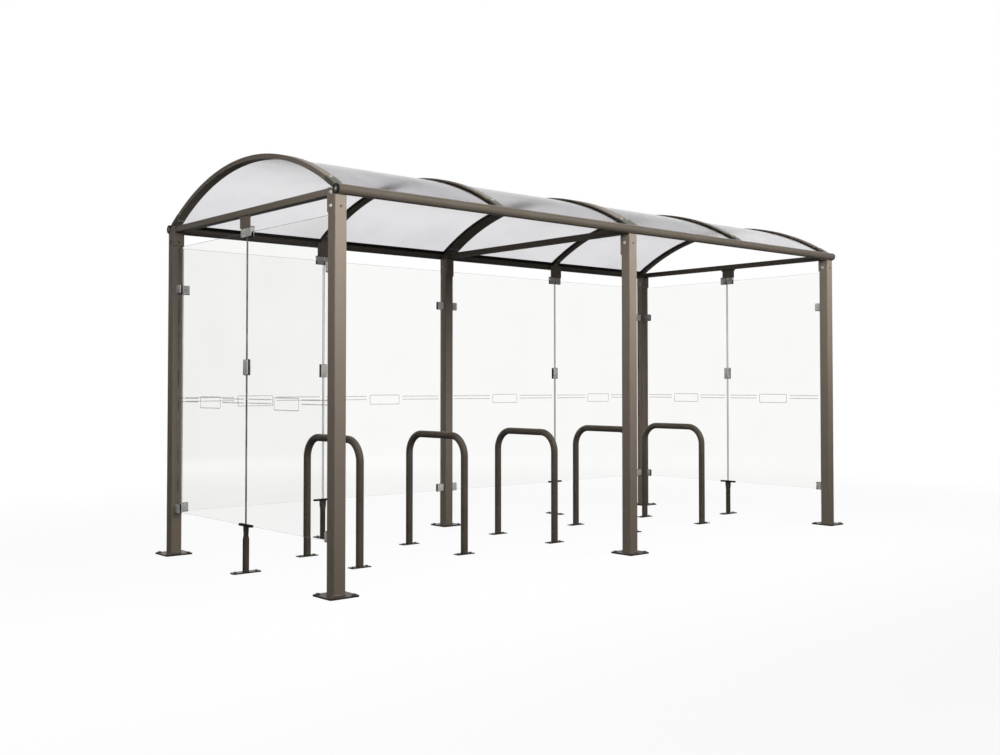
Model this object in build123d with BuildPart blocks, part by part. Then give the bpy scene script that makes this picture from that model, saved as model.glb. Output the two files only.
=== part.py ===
"""Bike shelter: an open steel frame on six posts with an arched roof and glass on three sides.

Millimetres, +Z up. The origin is on the ground, under the middle of the roof. X runs along the
length, the open front faces -Y, and the glazed rear wall is at +Y.

The roof is two equal modules side by side. The middle posts carry the bar at the edge of the left
module, so they stand half a bar's width to the left of the middle.
"""

from build123d import *

import os
from math import asin, cos, degrees, radians, sin, sqrt

# ---------------------------------------------------------------- driving dimensions

module_count = 2                # roof modules side by side
module_length = 2560.0          # one roof module, over its two edge bars
depth = 2140.0                  # between front and rear post centres
wall_y = depth / 2

post_size = 80.0                # square tube
post_wall = 4.0
post_half = post_size / 2
post_corner = 6.0

plate_size = 200.0              # base plate under each post
plate_thickness = 10.0
plate_corner = 15.0
plate_hole_spacing = 150.0
plate_hole_radius = 7.0

head_plate_thickness = 8.0      # plate welded to the inner face of each post head
head_plate_chamfer = 6.0

eave_radius = 31.0              # round tube along each long side
eave_wall = 3.6
eave_y = wall_y + post_half     # the tube's axis is over the posts' outer faces
eave_z = 2346.0
eave_half_length = module_count * module_length / 2
cap_thickness = 10.0
seat_gap = 0.2                  # between the round tube and what is cut to fit it

tie_width = 60.0                # cross tie, front post to rear post
tie_height = 40.0
tie_wall = 3.0
tie_z = eave_z - 6.0
post_top = tie_z + tie_height / 2

arch_width = 60.0               # curved roof bar with a groove for the sheet in its side
arch_thickness = 30.5
arch_wall = 2.0
arch_inner_radius = 1971.0
arch_foot_inset = 10.0          # where the bar's inner face meets the eave tube, from its axis
arch_foot_drop = 11.6
arch_end_y = eave_y - arch_foot_inset

sheet_thickness = 4.0           # curved clear roof sheet
sheet_rise = 10.0               # from the bars' inner face to the sheet
sheet_grip = 10.0               # part of the sheet held in a bar's groove
groove_depth = 12.0

edge_thickness = 2.0            # folded trim over the sheets' lower edges
edge_flange = 30.0
edge_gap = 1.0                  # between a trim's end and the bar beside it

glass_thickness = 8.0
glass_bottom = 306.0
glass_post_gap = 20.0           # between a pane and the post beside it
glass_joint = 10.0              # between the two panes of a bay

clamp_height = 60.0
clamp_depth = 30.0
clamp_length = 64.0
clamp_corner = 5.0
clamp_low_rise = 25.0           # from the glass's lower edge to the middle of the low clamps
clamp_high_drop = 303.0         # from the glass's upper edge to the middle of the high clamps
hanger_clamp_length = 60.0
hanger_clamp_gap = 12.0         # between the two clamps under one hanger

hanger_width = 2 * hanger_clamp_length + hanger_clamp_gap
hanger_thickness = 6.0
hanger_drop = 106.0             # from the eave tube's axis to the bottom of the hangers
hanger_bottom = eave_z - hanger_drop
hanger_offset = clamp_depth / 2 + hanger_thickness
hanger_shoulder_drop = 12.0     # from the roof bar's inner face to a rear hanger's shoulders
gusset_size = 18.0
glass_top = hanger_bottom - clamp_height / 2

clip_width = 56.0               # clip across a pane joint at half height
clip_height = 100.0
clip_depth = 24.0
clip_rise = 1025.0              # from the glass's lower edge to the middle of the clip

foot_length = 200.0             # base of a glass foot, across the wall
foot_width = 64.0
foot_thickness = 8.0
foot_hole_spacing = 150.0
foot_hole_radius = 6.0
stem_radius = 21.0
stem_flat_width = 60.0
stem_flat_thickness = 14.0
stem_flat_height = 28.0         # flat top of the stem
stem_taper = 55.0               # from the round stem to the flat top
saddle_length = 158.0           # rubber-lined channel under the pane joint
saddle_width = 24.0
saddle_height = 15.0
saddle_slot = 8.0

hoop_count = 5
hoop_pitch = 900.0
hoop_x = -60.0                  # middle of the row of hoops
hoop_y = 17.5
hoop_leg_spacing = 665.0
hoop_top = 874.0
hoop_radius = 26.0
hoop_wall = 3.0
hoop_bend = 150.0
hoop_plate_length = 150.0
hoop_plate_width = 60.0
hoop_plate_thickness = 6.0
hoop_hole_spacing = 110.0
hoop_hole_radius = 5.5

# ---------------------------------------------------------------- places worked out from those

end_x = eave_half_length - arch_width / 2
post_columns = {"left": -end_x, "middle": -arch_width / 2, "right": end_x}
post_rows = {"front": -1, "rear": 1}
head_plate_lengths = {"left": 144.0, "middle": 196.0, "right": 144.0}
joint_places = [-module_length / 2, module_length / 2]

arch_centre_z = eave_z - arch_foot_drop - sqrt(arch_inner_radius**2 - arch_end_y**2)
arch_outer_radius = arch_inner_radius + arch_thickness
sheet_inner_radius = arch_inner_radius + sheet_rise
sheet_outer_radius = sheet_inner_radius + sheet_thickness
edge_outer_radius = sheet_outer_radius + edge_thickness
sheet_end_y = eave_y - eave_radius - edge_thickness
saddle_bottom = glass_bottom - (saddle_height - saddle_slot)

os.makedirs("parts", exist_ok=True)


def save(piece, name):
    """Label a finished sub-part and write its STEP file."""
    piece.part.label = name
    export_step(piece.part, f"parts/{name}.step")


def turned(axis, across, along):
    """Pair (x, y) for a wall: an "x" wall is one of the two ends, the "y" wall is the rear one."""
    return (across, along) if axis == "x" else (along, across)


def roof_angle(y, radius):
    """Angle in degrees from the crown to where a roof arc of this radius is at y."""
    return degrees(asin(y / radius))


def roof_point(radius, angle):
    """Point (y, z) of a roof arc, at an angle in degrees from the crown."""
    return (radius * sin(radians(angle)), arch_centre_z + radius * cos(radians(angle)))


def roof_band(inner, outer, start, end):
    """Closed band between two roof arcs, from one angle to another, in a section across the roof."""
    middle = (start + end) / 2
    with BuildLine() as outline:
        ThreePointArc(roof_point(inner, start), roof_point(inner, middle), roof_point(inner, end))
        Line(roof_point(inner, end), roof_point(outer, end))
        ThreePointArc(roof_point(outer, end), roof_point(outer, middle), roof_point(outer, start))
        Line(roof_point(outer, start), roof_point(inner, start))
    return make_face(outline.edges())


arch_end = roof_angle(arch_end_y, arch_inner_radius)
sheet_end = roof_angle(sheet_end_y, sheet_inner_radius)

# ---------------------------------------------------------------- posts


def post(x, side, head_plate_length):
    """One post with base plate and head plate; side is -1 for the front row, +1 for the rear row."""
    y = side * wall_y
    inner_face = side * (wall_y - post_half)
    inner_plate_face = inner_face - side * head_plate_thickness
    bottom = post_top - head_plate_length
    with BuildPart() as piece:
        with BuildSketch(Plane.XY):
            with Locations((x, y)):
                RectangleRounded(plate_size, plate_size, plate_corner)
                with GridLocations(plate_hole_spacing, plate_hole_spacing, 2, 2):
                    Circle(plate_hole_radius, mode=Mode.SUBTRACT)
        extrude(amount=plate_thickness)
        with BuildSketch(Plane.XY.offset(plate_thickness)):
            with Locations((x, y)):
                RectangleRounded(post_size, post_size, post_corner)
                RectangleRounded(post_size - 2 * post_wall, post_size - 2 * post_wall,
                                 post_corner - post_wall, mode=Mode.SUBTRACT)
        extrude(amount=post_top - plate_thickness)
        with BuildSketch(Plane.YZ.offset(x - post_half)):
            with BuildLine():
                Polyline((inner_face + side, post_top), (inner_plate_face, post_top),
                         (inner_plate_face, bottom + head_plate_chamfer), (inner_face, bottom),
                         (inner_face + side, bottom), close=True)
            make_face()
        extrude(amount=post_size)
        with BuildSketch(Plane.YZ.offset(x - post_size)):
            with Locations((side * eave_y, eave_z)):
                Circle(eave_radius + seat_gap)
            add(roof_band(arch_inner_radius, arch_inner_radius + post_size, -arch_end, arch_end))
        extrude(amount=2 * post_size, mode=Mode.SUBTRACT)
    return piece


for column, x in post_columns.items():
    for row, side in post_rows.items():
        save(post(x, side, head_plate_lengths[column]), f"post_{row}_{column}")

# ---------------------------------------------------------------- eave tubes and their end caps


def eave_tube(side):
    """Round tube along one long side."""
    with BuildPart() as piece:
        with BuildSketch(Plane.YZ.offset(-eave_half_length)):
            with Locations((side * eave_y, eave_z)):
                Circle(eave_radius)
                Circle(eave_radius - eave_wall, mode=Mode.SUBTRACT)
        extrude(amount=2 * eave_half_length)
    return piece


for row, side in post_rows.items():
    save(eave_tube(side), f"eave_tube_{row}")

with BuildPart() as eave_caps:
    for x in (-eave_half_length - cap_thickness, eave_half_length):
        with BuildSketch(Plane.YZ.offset(x)):
            with Locations((-eave_y, eave_z), (eave_y, eave_z)):
                Circle(eave_radius)
        extrude(amount=cap_thickness)
save(eave_caps, "eave_end_caps")

# ---------------------------------------------------------------- cross ties


def tie(x):
    """Rectangular tube between the head plates of a front and a rear post."""
    length = depth - post_size - 2 * head_plate_thickness
    with BuildPart() as piece:
        with BuildSketch(Plane.XZ.offset(-length / 2)):
            with Locations((x, tie_z)):
                Rectangle(tie_width, tie_height)
                Rectangle(tie_width - 2 * tie_wall, tie_height - 2 * tie_wall, mode=Mode.SUBTRACT)
        extrude(amount=length)
    return piece


for column, x in post_columns.items():
    save(tie(x), f"tie_{column}")

# ---------------------------------------------------------------- roof


def roof_bar(bars):
    """Curved bars from eave tube to eave tube, with their feet cut to sit on both tubes.

    Each bar is (x, sides), where sides lists the sides that have a sheet groove, -1 and +1.
    """
    cavity_middle = arch_width - 2 * (groove_depth + arch_wall)
    layers = [
        (arch_inner_radius + arch_wall, sheet_inner_radius - arch_wall, arch_width - 2 * arch_wall),
        (sheet_inner_radius - arch_wall, sheet_outer_radius + arch_wall, cavity_middle),
        (sheet_outer_radius + arch_wall, arch_outer_radius - arch_wall, arch_width - 2 * arch_wall),
    ]
    with BuildPart() as piece:
        for x, sides in bars:
            with BuildSketch(Plane.YZ.offset(x - arch_width / 2)):
                add(roof_band(arch_inner_radius, arch_outer_radius, -arch_end, arch_end))
            extrude(amount=arch_width)
        for x, sides in bars:
            for inner, outer, width in layers:
                with BuildSketch(Plane.YZ.offset(x - width / 2)):
                    add(roof_band(inner, outer, -arch_end, arch_end))
                extrude(amount=width, mode=Mode.SUBTRACT)
            for side in sides:
                face = x + side * arch_width / 2
                with BuildSketch(Plane.YZ.offset(min(face, face - side * groove_depth))):
                    add(roof_band(sheet_inner_radius, sheet_outer_radius, -arch_end, arch_end))
                extrude(amount=groove_depth, mode=Mode.SUBTRACT)
        with BuildSketch(Plane.YZ.offset(-2 * eave_half_length)):
            with Locations((-eave_y, eave_z), (eave_y, eave_z)):
                Circle(eave_radius + seat_gap)
        extrude(amount=4 * eave_half_length, mode=Mode.SUBTRACT)
    return piece


save(roof_bar([(-end_x, [1])]), "roof_bar_left_end")
save(roof_bar([(joint_places[0], [-1, 1])]), "roof_bar_left_bay")
save(roof_bar([(-arch_width / 2, [-1]), (arch_width / 2, [1])]), "roof_bar_middle")
save(roof_bar([(joint_places[1], [-1, 1])]), "roof_bar_right_bay")
save(roof_bar([(end_x, [-1])]), "roof_bar_right_end")

# Each sheet fills one gap between two bars: (x where the gap starts, x where it ends).
edge_bar = arch_width
half_bar = arch_width / 2
sheet_gaps = [
    (-module_length + edge_bar, joint_places[0] - half_bar),
    (joint_places[0] + half_bar, -edge_bar),
    (edge_bar, joint_places[1] - half_bar),
    (joint_places[1] + half_bar, module_length - edge_bar),
]


def roof_sheet(start, end):
    """Curved sheet across one gap, held in the grooves of the bars on both sides of it."""
    with BuildPart() as piece:
        with BuildSketch(Plane.YZ.offset(start - sheet_grip)):
            add(roof_band(sheet_inner_radius, sheet_outer_radius, -sheet_end, sheet_end))
        extrude(amount=end - start + 2 * sheet_grip)
    return piece


for number, (start, end) in enumerate(sheet_gaps, 1):
    save(roof_sheet(start, end), f"roof_sheet_{number}")

web_angle = degrees(edge_thickness / sheet_outer_radius)
flange_angle = degrees(edge_flange / sheet_outer_radius)
with BuildPart() as edge_trims:
    for start, end in sheet_gaps:
        with BuildSketch(Plane.YZ.offset(start + edge_gap)):
            for side in (-1, 1):
                edge = side * sheet_end
                add(roof_band(sheet_outer_radius, edge_outer_radius, edge - side * flange_angle, edge))
                add(roof_band(sheet_inner_radius, edge_outer_radius, edge, edge + side * web_angle))
        extrude(amount=end - start - 2 * edge_gap)
save(edge_trims, "roof_edge_trims")

# ---------------------------------------------------------------- glass walls

pane_start = post_half + glass_post_gap
end_spans = [(-wall_y + pane_start, -glass_joint / 2), (glass_joint / 2, wall_y - pane_start)]
rear_spans = []
for left_post, right_post, joint in (
    (post_columns["left"], post_columns["middle"], joint_places[0]),
    (post_columns["middle"], post_columns["right"], joint_places[1]),
):
    rear_spans.append((left_post + pane_start, joint - glass_joint / 2))
    rear_spans.append((joint + glass_joint / 2, right_post - pane_start))


def wall_outline(axis, plane, middle, z, length, thickness, corner=0.0):
    """Rectangle lying in a wall at height z, with its length along the wall."""
    with BuildSketch(Plane.XY.offset(z)) as outline:
        with Locations(turned(axis, plane, middle)):
            if corner:
                RectangleRounded(*turned(axis, thickness, length), corner)
            else:
                Rectangle(*turned(axis, thickness, length))
    return outline.sketch


def pane_outline(axis, plane, span):
    """Outline of one pane, at its lower edge."""
    start, end = span
    return wall_outline(axis, plane, (start + end) / 2, glass_bottom, end - start, glass_thickness)


def pane(axis, plane, span):
    """One sheet of glass in a wall."""
    with BuildPart() as piece:
        extrude(pane_outline(axis, plane, span), amount=glass_top - glass_bottom)
    return piece


for column, plane in (("left", -end_x), ("right", end_x)):
    for half, span in zip(("front", "rear"), end_spans):
        save(pane("x", plane, span), f"glass_{column}_{half}")
for number, span in enumerate(rear_spans, 1):
    save(pane("y", wall_y, span), f"glass_rear_{number}")

# ---------------------------------------------------------------- glass clamps

clamp_low_z = glass_bottom + clamp_low_rise
clamp_high_z = glass_top - clamp_high_drop
clip_z = glass_bottom + clip_rise
clamp_from_post = post_half + clamp_length / 2
hanger_clamp_along = (hanger_clamp_gap + hanger_clamp_length) / 2


def wall_clamps(axis, plane, places, joints, spans):
    """All the clamps of one wall: two at each place by a post, and at each joint two under the
    hanger and one clip at half height."""
    with BuildPart() as piece:
        for along in places:
            for z in (clamp_low_z, clamp_high_z):
                extrude(wall_outline(axis, plane, along, z - clamp_height / 2,
                                     clamp_length, clamp_depth, clamp_corner),
                        amount=clamp_height)
        for joint in joints:
            for side in (-1, 1):
                along = joint + side * hanger_clamp_along
                extrude(wall_outline(axis, plane, along, hanger_bottom - clamp_height,
                                     hanger_clamp_length, clamp_depth, clamp_corner),
                        amount=clamp_height)
            extrude(wall_outline(axis, plane, joint, clip_z - clip_height / 2,
                                 clip_width, clip_depth, clamp_corner),
                    amount=clip_height)
        for span in spans:
            extrude(pane_outline(axis, plane, span), amount=glass_top - glass_bottom,
                    mode=Mode.SUBTRACT)
    return piece


end_clamps = [-wall_y + clamp_from_post, wall_y - clamp_from_post]
rear_clamps = [
    post_columns["left"] + clamp_from_post,
    post_columns["middle"] - clamp_from_post,
    post_columns["middle"] + clamp_from_post,
    post_columns["right"] - clamp_from_post,
]
save(wall_clamps("x", -end_x, end_clamps, [0.0], end_spans), "glass_clamps_left")
save(wall_clamps("x", end_x, end_clamps, [0.0], end_spans), "glass_clamps_right")
save(wall_clamps("y", wall_y, rear_clamps, joint_places, rear_spans), "glass_clamps_rear")

# ---------------------------------------------------------------- glass hangers

tie_bottom = tie_z - tie_height / 2


def hanger_flange(axis, outer, inner, middle):
    """Outline of a hanger's flange, over the glass clamps; outer and inner are across the wall."""
    return wall_outline(axis, (outer + inner) / 2, middle, hanger_bottom, hanger_width,
                        abs(outer - inner))


with BuildPart() as hangers:
    for side in (-1, 1):
        outer = side * (end_x + hanger_offset)
        inner = side * (end_x - clamp_depth / 2)
        plate_face = outer - side * hanger_thickness
        extrude(hanger_flange("x", outer, inner, 0.0), amount=hanger_thickness)
        extrude(hanger_flange("x", outer, plate_face, 0.0), amount=tie_bottom - hanger_bottom)
        with BuildSketch(Plane.YZ.offset(min(outer, plate_face))):
            for end in (-1, 1):
                edge = end * hanger_width / 2
                with BuildLine():
                    Polyline((edge, tie_bottom), (edge + end * gusset_size, tie_bottom),
                             (edge, tie_bottom - gusset_size), close=True)
                make_face()
        extrude(amount=hanger_thickness)
    outer = wall_y - hanger_offset
    plate_face = outer + hanger_thickness
    inner = wall_y + clamp_depth / 2
    bar_z = arch_centre_z + sqrt(arch_inner_radius**2 - plate_face**2)
    for joint in joint_places:
        extrude(hanger_flange("y", outer, inner, joint), amount=hanger_thickness)
        extrude(hanger_flange("y", outer, plate_face, joint),
                amount=bar_z - hanger_shoulder_drop - hanger_bottom)
        extrude(wall_outline("y", (outer + plate_face) / 2, joint, hanger_bottom, arch_width,
                             hanger_thickness),
                amount=eave_z + arch_thickness - hanger_bottom)
    with BuildSketch(Plane.YZ.offset(-module_length)):
        add(roof_band(arch_inner_radius, arch_inner_radius + post_size, -arch_end, arch_end))
    extrude(amount=2 * module_length, mode=Mode.SUBTRACT)
save(hangers, "glass_hangers")

# ---------------------------------------------------------------- glass feet and saddles


def glass_foot(axis, plane, joint):
    """Floor stand under a pane joint: base across the wall, round stem pressed flat at the top."""
    centre = turned(axis, plane, joint)
    flat = (stem_flat_width, stem_flat_thickness)
    flat_turn = 90 if axis == "x" else 0
    stem_flat_bottom = saddle_bottom - stem_flat_height
    stem_round_top = stem_flat_bottom - stem_taper
    with BuildPart() as piece:
        with BuildSketch(Plane.XY):
            with Locations(centre):
                RectangleRounded(*turned(axis, foot_length, foot_width), plate_corner)
            for side in (-1, 1):
                with Locations(turned(axis, plane + side * foot_hole_spacing / 2, joint)):
                    Circle(foot_hole_radius, mode=Mode.SUBTRACT)
        extrude(amount=foot_thickness)
        with BuildSketch(Plane.XY.offset(foot_thickness)):
            with Locations(centre):
                Circle(stem_radius)
        extrude(amount=stem_round_top - foot_thickness)
        with BuildSketch(Plane.XY.offset(stem_round_top)):
            with Locations(centre):
                Circle(stem_radius)
        with BuildSketch(Plane.XY.offset(stem_flat_bottom)):
            with Locations(centre):
                SlotOverall(*flat, rotation=flat_turn)
        loft()
        with BuildSketch(Plane.XY.offset(stem_flat_bottom)):
            with Locations(centre):
                SlotOverall(*flat, rotation=flat_turn)
        extrude(amount=saddle_bottom - stem_flat_bottom)
    return piece


foot_places = {
    "left": ("x", -end_x, 0.0),
    "right": ("x", end_x, 0.0),
    "rear_left": ("y", wall_y, joint_places[0]),
    "rear_right": ("y", wall_y, joint_places[1]),
}
for name, place in foot_places.items():
    save(glass_foot(*place), f"glass_foot_{name}")

with BuildPart() as saddles:
    for axis, plane, joint in foot_places.values():
        extrude(wall_outline(axis, plane, joint, saddle_bottom, saddle_length, saddle_width),
                amount=saddle_height)
        extrude(wall_outline(axis, plane, joint, glass_bottom, saddle_length, glass_thickness),
                amount=saddle_slot, mode=Mode.SUBTRACT)
save(saddles, "glass_saddles")

# ---------------------------------------------------------------- bike hoops


def bike_hoop(x):
    """Bent round tube on two floor plates, standing across the shelter."""
    near = hoop_y - hoop_leg_spacing / 2
    far = hoop_y + hoop_leg_spacing / 2
    axis_top = hoop_top - hoop_radius
    with BuildPart() as piece:
        with BuildLine(Plane.YZ.offset(x)) as path:
            FilletPolyline((near, hoop_plate_thickness), (near, axis_top), (far, axis_top),
                           (far, hoop_plate_thickness), radius=hoop_bend)
        with BuildSketch(Plane.XY.offset(hoop_plate_thickness)):
            with Locations((x, near)):
                Circle(hoop_radius)
                Circle(hoop_radius - hoop_wall, mode=Mode.SUBTRACT)
        sweep(path=path.wires()[0])
        with BuildSketch(Plane.XY):
            with Locations((x, near), (x, far)):
                Rectangle(hoop_plate_length, hoop_plate_width)
                with GridLocations(hoop_hole_spacing, 0, 2, 1):
                    Circle(hoop_hole_radius, mode=Mode.SUBTRACT)
        extrude(amount=hoop_plate_thickness)
    return piece


for number in range(hoop_count):
    from_middle = number - (hoop_count - 1) / 2
    save(bike_hoop(hoop_x + from_middle * hoop_pitch), f"bike_hoop_{number + 1}")
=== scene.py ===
"""Looks, fasteners and small fittings of an open bike shelter, built around its solid model.

Metres, +Z up, in the solid model's own frame: X runs along the shelter, the open front faces -Y
and the glazed rear wall is at +Y.
"""

import logging
from collections.abc import Iterable, Mapping, Sequence
from dataclasses import dataclass, field
from enum import Enum
from functools import cache
from math import asin, copysign, cos, pi, radians, sin, tau

import bmesh
import bpy
from mathutils import Matrix, Vector


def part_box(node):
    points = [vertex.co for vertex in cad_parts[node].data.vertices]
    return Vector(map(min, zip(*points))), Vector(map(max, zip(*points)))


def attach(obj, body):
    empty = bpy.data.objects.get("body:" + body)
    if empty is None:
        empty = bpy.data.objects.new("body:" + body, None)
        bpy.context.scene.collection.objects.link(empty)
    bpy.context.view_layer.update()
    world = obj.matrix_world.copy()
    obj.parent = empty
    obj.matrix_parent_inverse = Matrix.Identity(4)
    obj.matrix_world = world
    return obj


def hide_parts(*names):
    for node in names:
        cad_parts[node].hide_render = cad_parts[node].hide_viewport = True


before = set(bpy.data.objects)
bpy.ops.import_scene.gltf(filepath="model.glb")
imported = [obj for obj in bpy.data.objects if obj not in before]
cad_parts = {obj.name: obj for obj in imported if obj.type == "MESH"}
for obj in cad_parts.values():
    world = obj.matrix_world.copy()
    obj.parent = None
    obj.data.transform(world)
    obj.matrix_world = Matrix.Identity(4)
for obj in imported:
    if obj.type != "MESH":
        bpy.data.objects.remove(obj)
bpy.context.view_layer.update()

LOG = logging.getLogger("bike_shelter")
BODY = "root"
SHARP_ANGLE = radians(38)

Colour = tuple[float, float, float, float]
Pair = tuple[float, float]
Triple = tuple[float, float, float]
Inputs = bpy.types.NodeInputs
Material = bpy.types.Material
Node = bpy.types.Node
Outputs = bpy.types.NodeOutputs
Socket = bpy.types.NodeSocket
Tree = bpy.types.NodeTree


class Slot(Enum):
    """Material slots, one of which each finish names."""

    FRAME_COAT = "frame_coat"
    CLEAR_SHEET = "clear_sheet"
    SAFETY_GLASS = "safety_glass"
    CLAMP_STEEL = "clamp_steel"
    BLACK_RUBBER = "black_rubber"
    BLACK_PLASTIC = "black_plastic"


class Side(Enum):
    """The two long sides of the shelter, as the sign of Y."""

    FRONT = -1
    REAR = 1


def shade(red: int, green: int, blue: int) -> Colour:
    """Turn a paint-chart colour of 0 to 255 into the linear colour that a shader takes."""
    parts = [value / 255 for value in (red, green, blue)]
    linear = [v / 12.92 if v <= 0.04045 else ((v + 0.055) / 1.055) ** 2.4 for v in parts]
    return (linear[0], linear[1], linear[2], 1.0)


# ------------------------------------------------------------------ shader nodes


class Graph:
    """A node tree written one node at a time."""

    def __init__(self, tree: Tree) -> None:
        """Take over a tree.

        Args:
            tree: The node tree that the nodes are added to.
        """
        self.tree = tree

    @classmethod
    def of_material(cls, name: str) -> tuple[Material, "Graph"]:
        """Start a new material with an empty node tree.

        Args:
            name: The material's name.

        Returns:
            The material, and the graph that fills it.
        """
        material = bpy.data.materials.new(name)
        material.use_nodes = True
        material.node_tree.nodes.clear()
        return material, cls(material.node_tree)

    def add(
        self, kind: str, feeds: Mapping[str | int, object] | None = None, **settings: object
    ) -> Node:
        """Add one node.

        Args:
            kind: The node's type, without its ShaderNode prefix.
            feeds: For each input, a value or the output socket that is linked to it.
            settings: Properties of the node itself.

        Returns:
            The new node.
        """
        node = self.tree.nodes.new(f"ShaderNode{kind}")
        for key, value in settings.items():
            setattr(node, key, value)
        for key, value in (feeds or {}).items():
            if isinstance(value, Socket):
                self.tree.links.new(value, node.inputs[key])
            else:
                node.inputs[key].default_value = value
        return node

    def math(self, operation: str, *values: object) -> Socket:
        """Work out one number with a Math node, and return its output socket."""
        feeds = dict(enumerate(values))
        return self.add("Math", feeds, operation=operation).outputs[0]

    def span(
        self, value: object, low: float, high: float, to_low: float = 0.0, to_high: float = 1.0
    ) -> Socket:
        """Map a range of a number to another range, with soft ends.

        Args:
            value: The socket that is mapped.
            low: Start of the range.
            high: End of the range.
            to_low: What the start becomes.
            to_high: What the end becomes.

        Returns:
            The mapped value's socket.
        """
        feeds = {0: value, 1: low, 2: high, 3: to_low, 4: to_high}
        return self.add("MapRange", feeds, interpolation_type="SMOOTHSTEP").outputs[0]

    def mix(self, share: object, first: object, second: object) -> Socket:
        """Mix two colours, and return the socket of the result."""
        feeds = {0: share, 6: first, 7: second}
        return self.add("Mix", feeds, data_type="RGBA").outputs[2]

    def noise(
        self, vector: object, scale: object, detail: float = 3.0, roughness: float = 0.55
    ) -> Socket:
        """Add a noise texture, and return its value's socket."""
        feeds = {"Vector": vector, "Scale": scale, "Detail": detail, "Roughness": roughness}
        return self.add("TexNoise", feeds).outputs[0]

    def place(self) -> Socket:
        """Return the socket that gives a point's place on the object, in metres."""
        return self.add("TexCoord").outputs["Object"]

    def stretched(self, scale: Triple) -> Socket:
        """Return the socket of a point's place with each axis scaled on its own."""
        return self.add("Mapping", {"Vector": self.place(), "Scale": scale}).outputs[0]

    def part(self, vector: Socket, axis: str) -> Socket:
        """Return the socket of a vector's X, Y or Z."""
        return self.add("SeparateXYZ", {0: vector}).outputs[axis]

    def effect(self, group: Tree, feeds: Mapping[str, object]) -> Outputs:
        """Place a shared effect.

        Args:
            group: The effect's node group.
            feeds: A value or a socket for each named input.

        Returns:
            The outputs of the group node.
        """
        return self.add("Group", feeds, node_tree=group).outputs

    def looks(self) -> tuple[Socket, Socket]:
        """Return whether a ray looks straight or through glass, and whether it was mirrored."""
        rays = self.add("LightPath").outputs
        mirrored = self.math("MULTIPLY", rays["Is Glossy Ray"],
                            self.math("MINIMUM", rays["Glossy Depth"], 1.0))
        through = self.math("MAXIMUM", rays["Is Camera Ray"], rays["Is Transmission Ray"])
        return self.math("MULTIPLY", through, self.math("SUBTRACT", 1.0, mirrored)), mirrored

    def give(self, taken: Inputs, results: Mapping[str, Socket]) -> Tree:
        """Link each result of a group to its output, and return the group."""
        for name, result in results.items():
            self.tree.links.new(result, taken[name])
        return self.tree

    def surface(self, shader: Socket) -> None:
        """Link a shader to the material's surface."""
        self.add("OutputMaterial", {"Surface": shader})


def open_group(
    name: str, inputs: Mapping[str, type], outputs: Mapping[str, type]
) -> tuple[Graph, Outputs, Inputs]:
    """Start a node group with named inputs and outputs.

    Args:
        name: The group's name.
        inputs: For each input, float for a number or tuple for a colour.
        outputs: For each output, float for a number, tuple for a colour or Vector for a normal.

    Returns:
        The group's graph, the sockets that give the inputs, and those that take the outputs.
    """
    kinds = {float: "NodeSocketFloat", tuple: "NodeSocketColor", Vector: "NodeSocketVector"}
    tree = bpy.data.node_groups.new(name, "ShaderNodeTree")
    for key, kind in inputs.items():
        tree.interface.new_socket(name=key, in_out="INPUT", socket_type=kinds[kind])
    for key, kind in outputs.items():
        tree.interface.new_socket(name=key, in_out="OUTPUT", socket_type=kinds[kind])
    given = tree.nodes.new("NodeGroupInput").outputs
    taken = tree.nodes.new("NodeGroupOutput").inputs
    return Graph(tree), given, taken


# Scales of the noises, per metre, and the ranges over which each mask comes in.
FLECK_RANGE = (0.62, 0.78)
DUSTY_SLOPE = (0.3, 0.95)
PATCH_SCALE, PATCH_RANGE = 2.6, (0.40, 0.74)
RUN_STRETCH, RUN_RANGE = (34.0, 34.0, 0.9), (0.50, 0.72)
SPECK_SCALE, SPECK_RANGE = 21.0, (0.35, 0.8)
SPLASH_HEIGHT = 0.34
DIRT_ROUGHNESS = 0.3
EDGE_COSINES = (0.985, 0.82)
RUB_SCALE, RUB_RANGE = 38.0, (0.42, 0.66)
LINE_STRETCH = (1.0, 1.0, 0.035)


@cache
def grain_effect() -> Tree:
    """Build the fine orange-peel grain of a sprayed or moulded surface.

    Returns:
        A group that takes Scale, and gives Height and a Fleck mask.
    """
    graph, given, taken = open_group(
        "Fine grain", {"Scale": float}, {"Height": float, "Fleck": float}
    )
    place = graph.place()
    pits = graph.add("TexVoronoi", {"Vector": place, "Scale": given["Scale"]}, feature="SMOOTH_F1")
    soft = graph.noise(place, graph.math("MULTIPLY", given["Scale"], 0.45), detail=2.0)
    height = graph.math("MULTIPLY_ADD", pits.outputs["Distance"], 0.6, soft)
    fleck = graph.span(graph.noise(place, given["Scale"], detail=1.0), *FLECK_RANGE)
    return graph.give(taken, {"Height": height, "Fleck": fleck})


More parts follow.
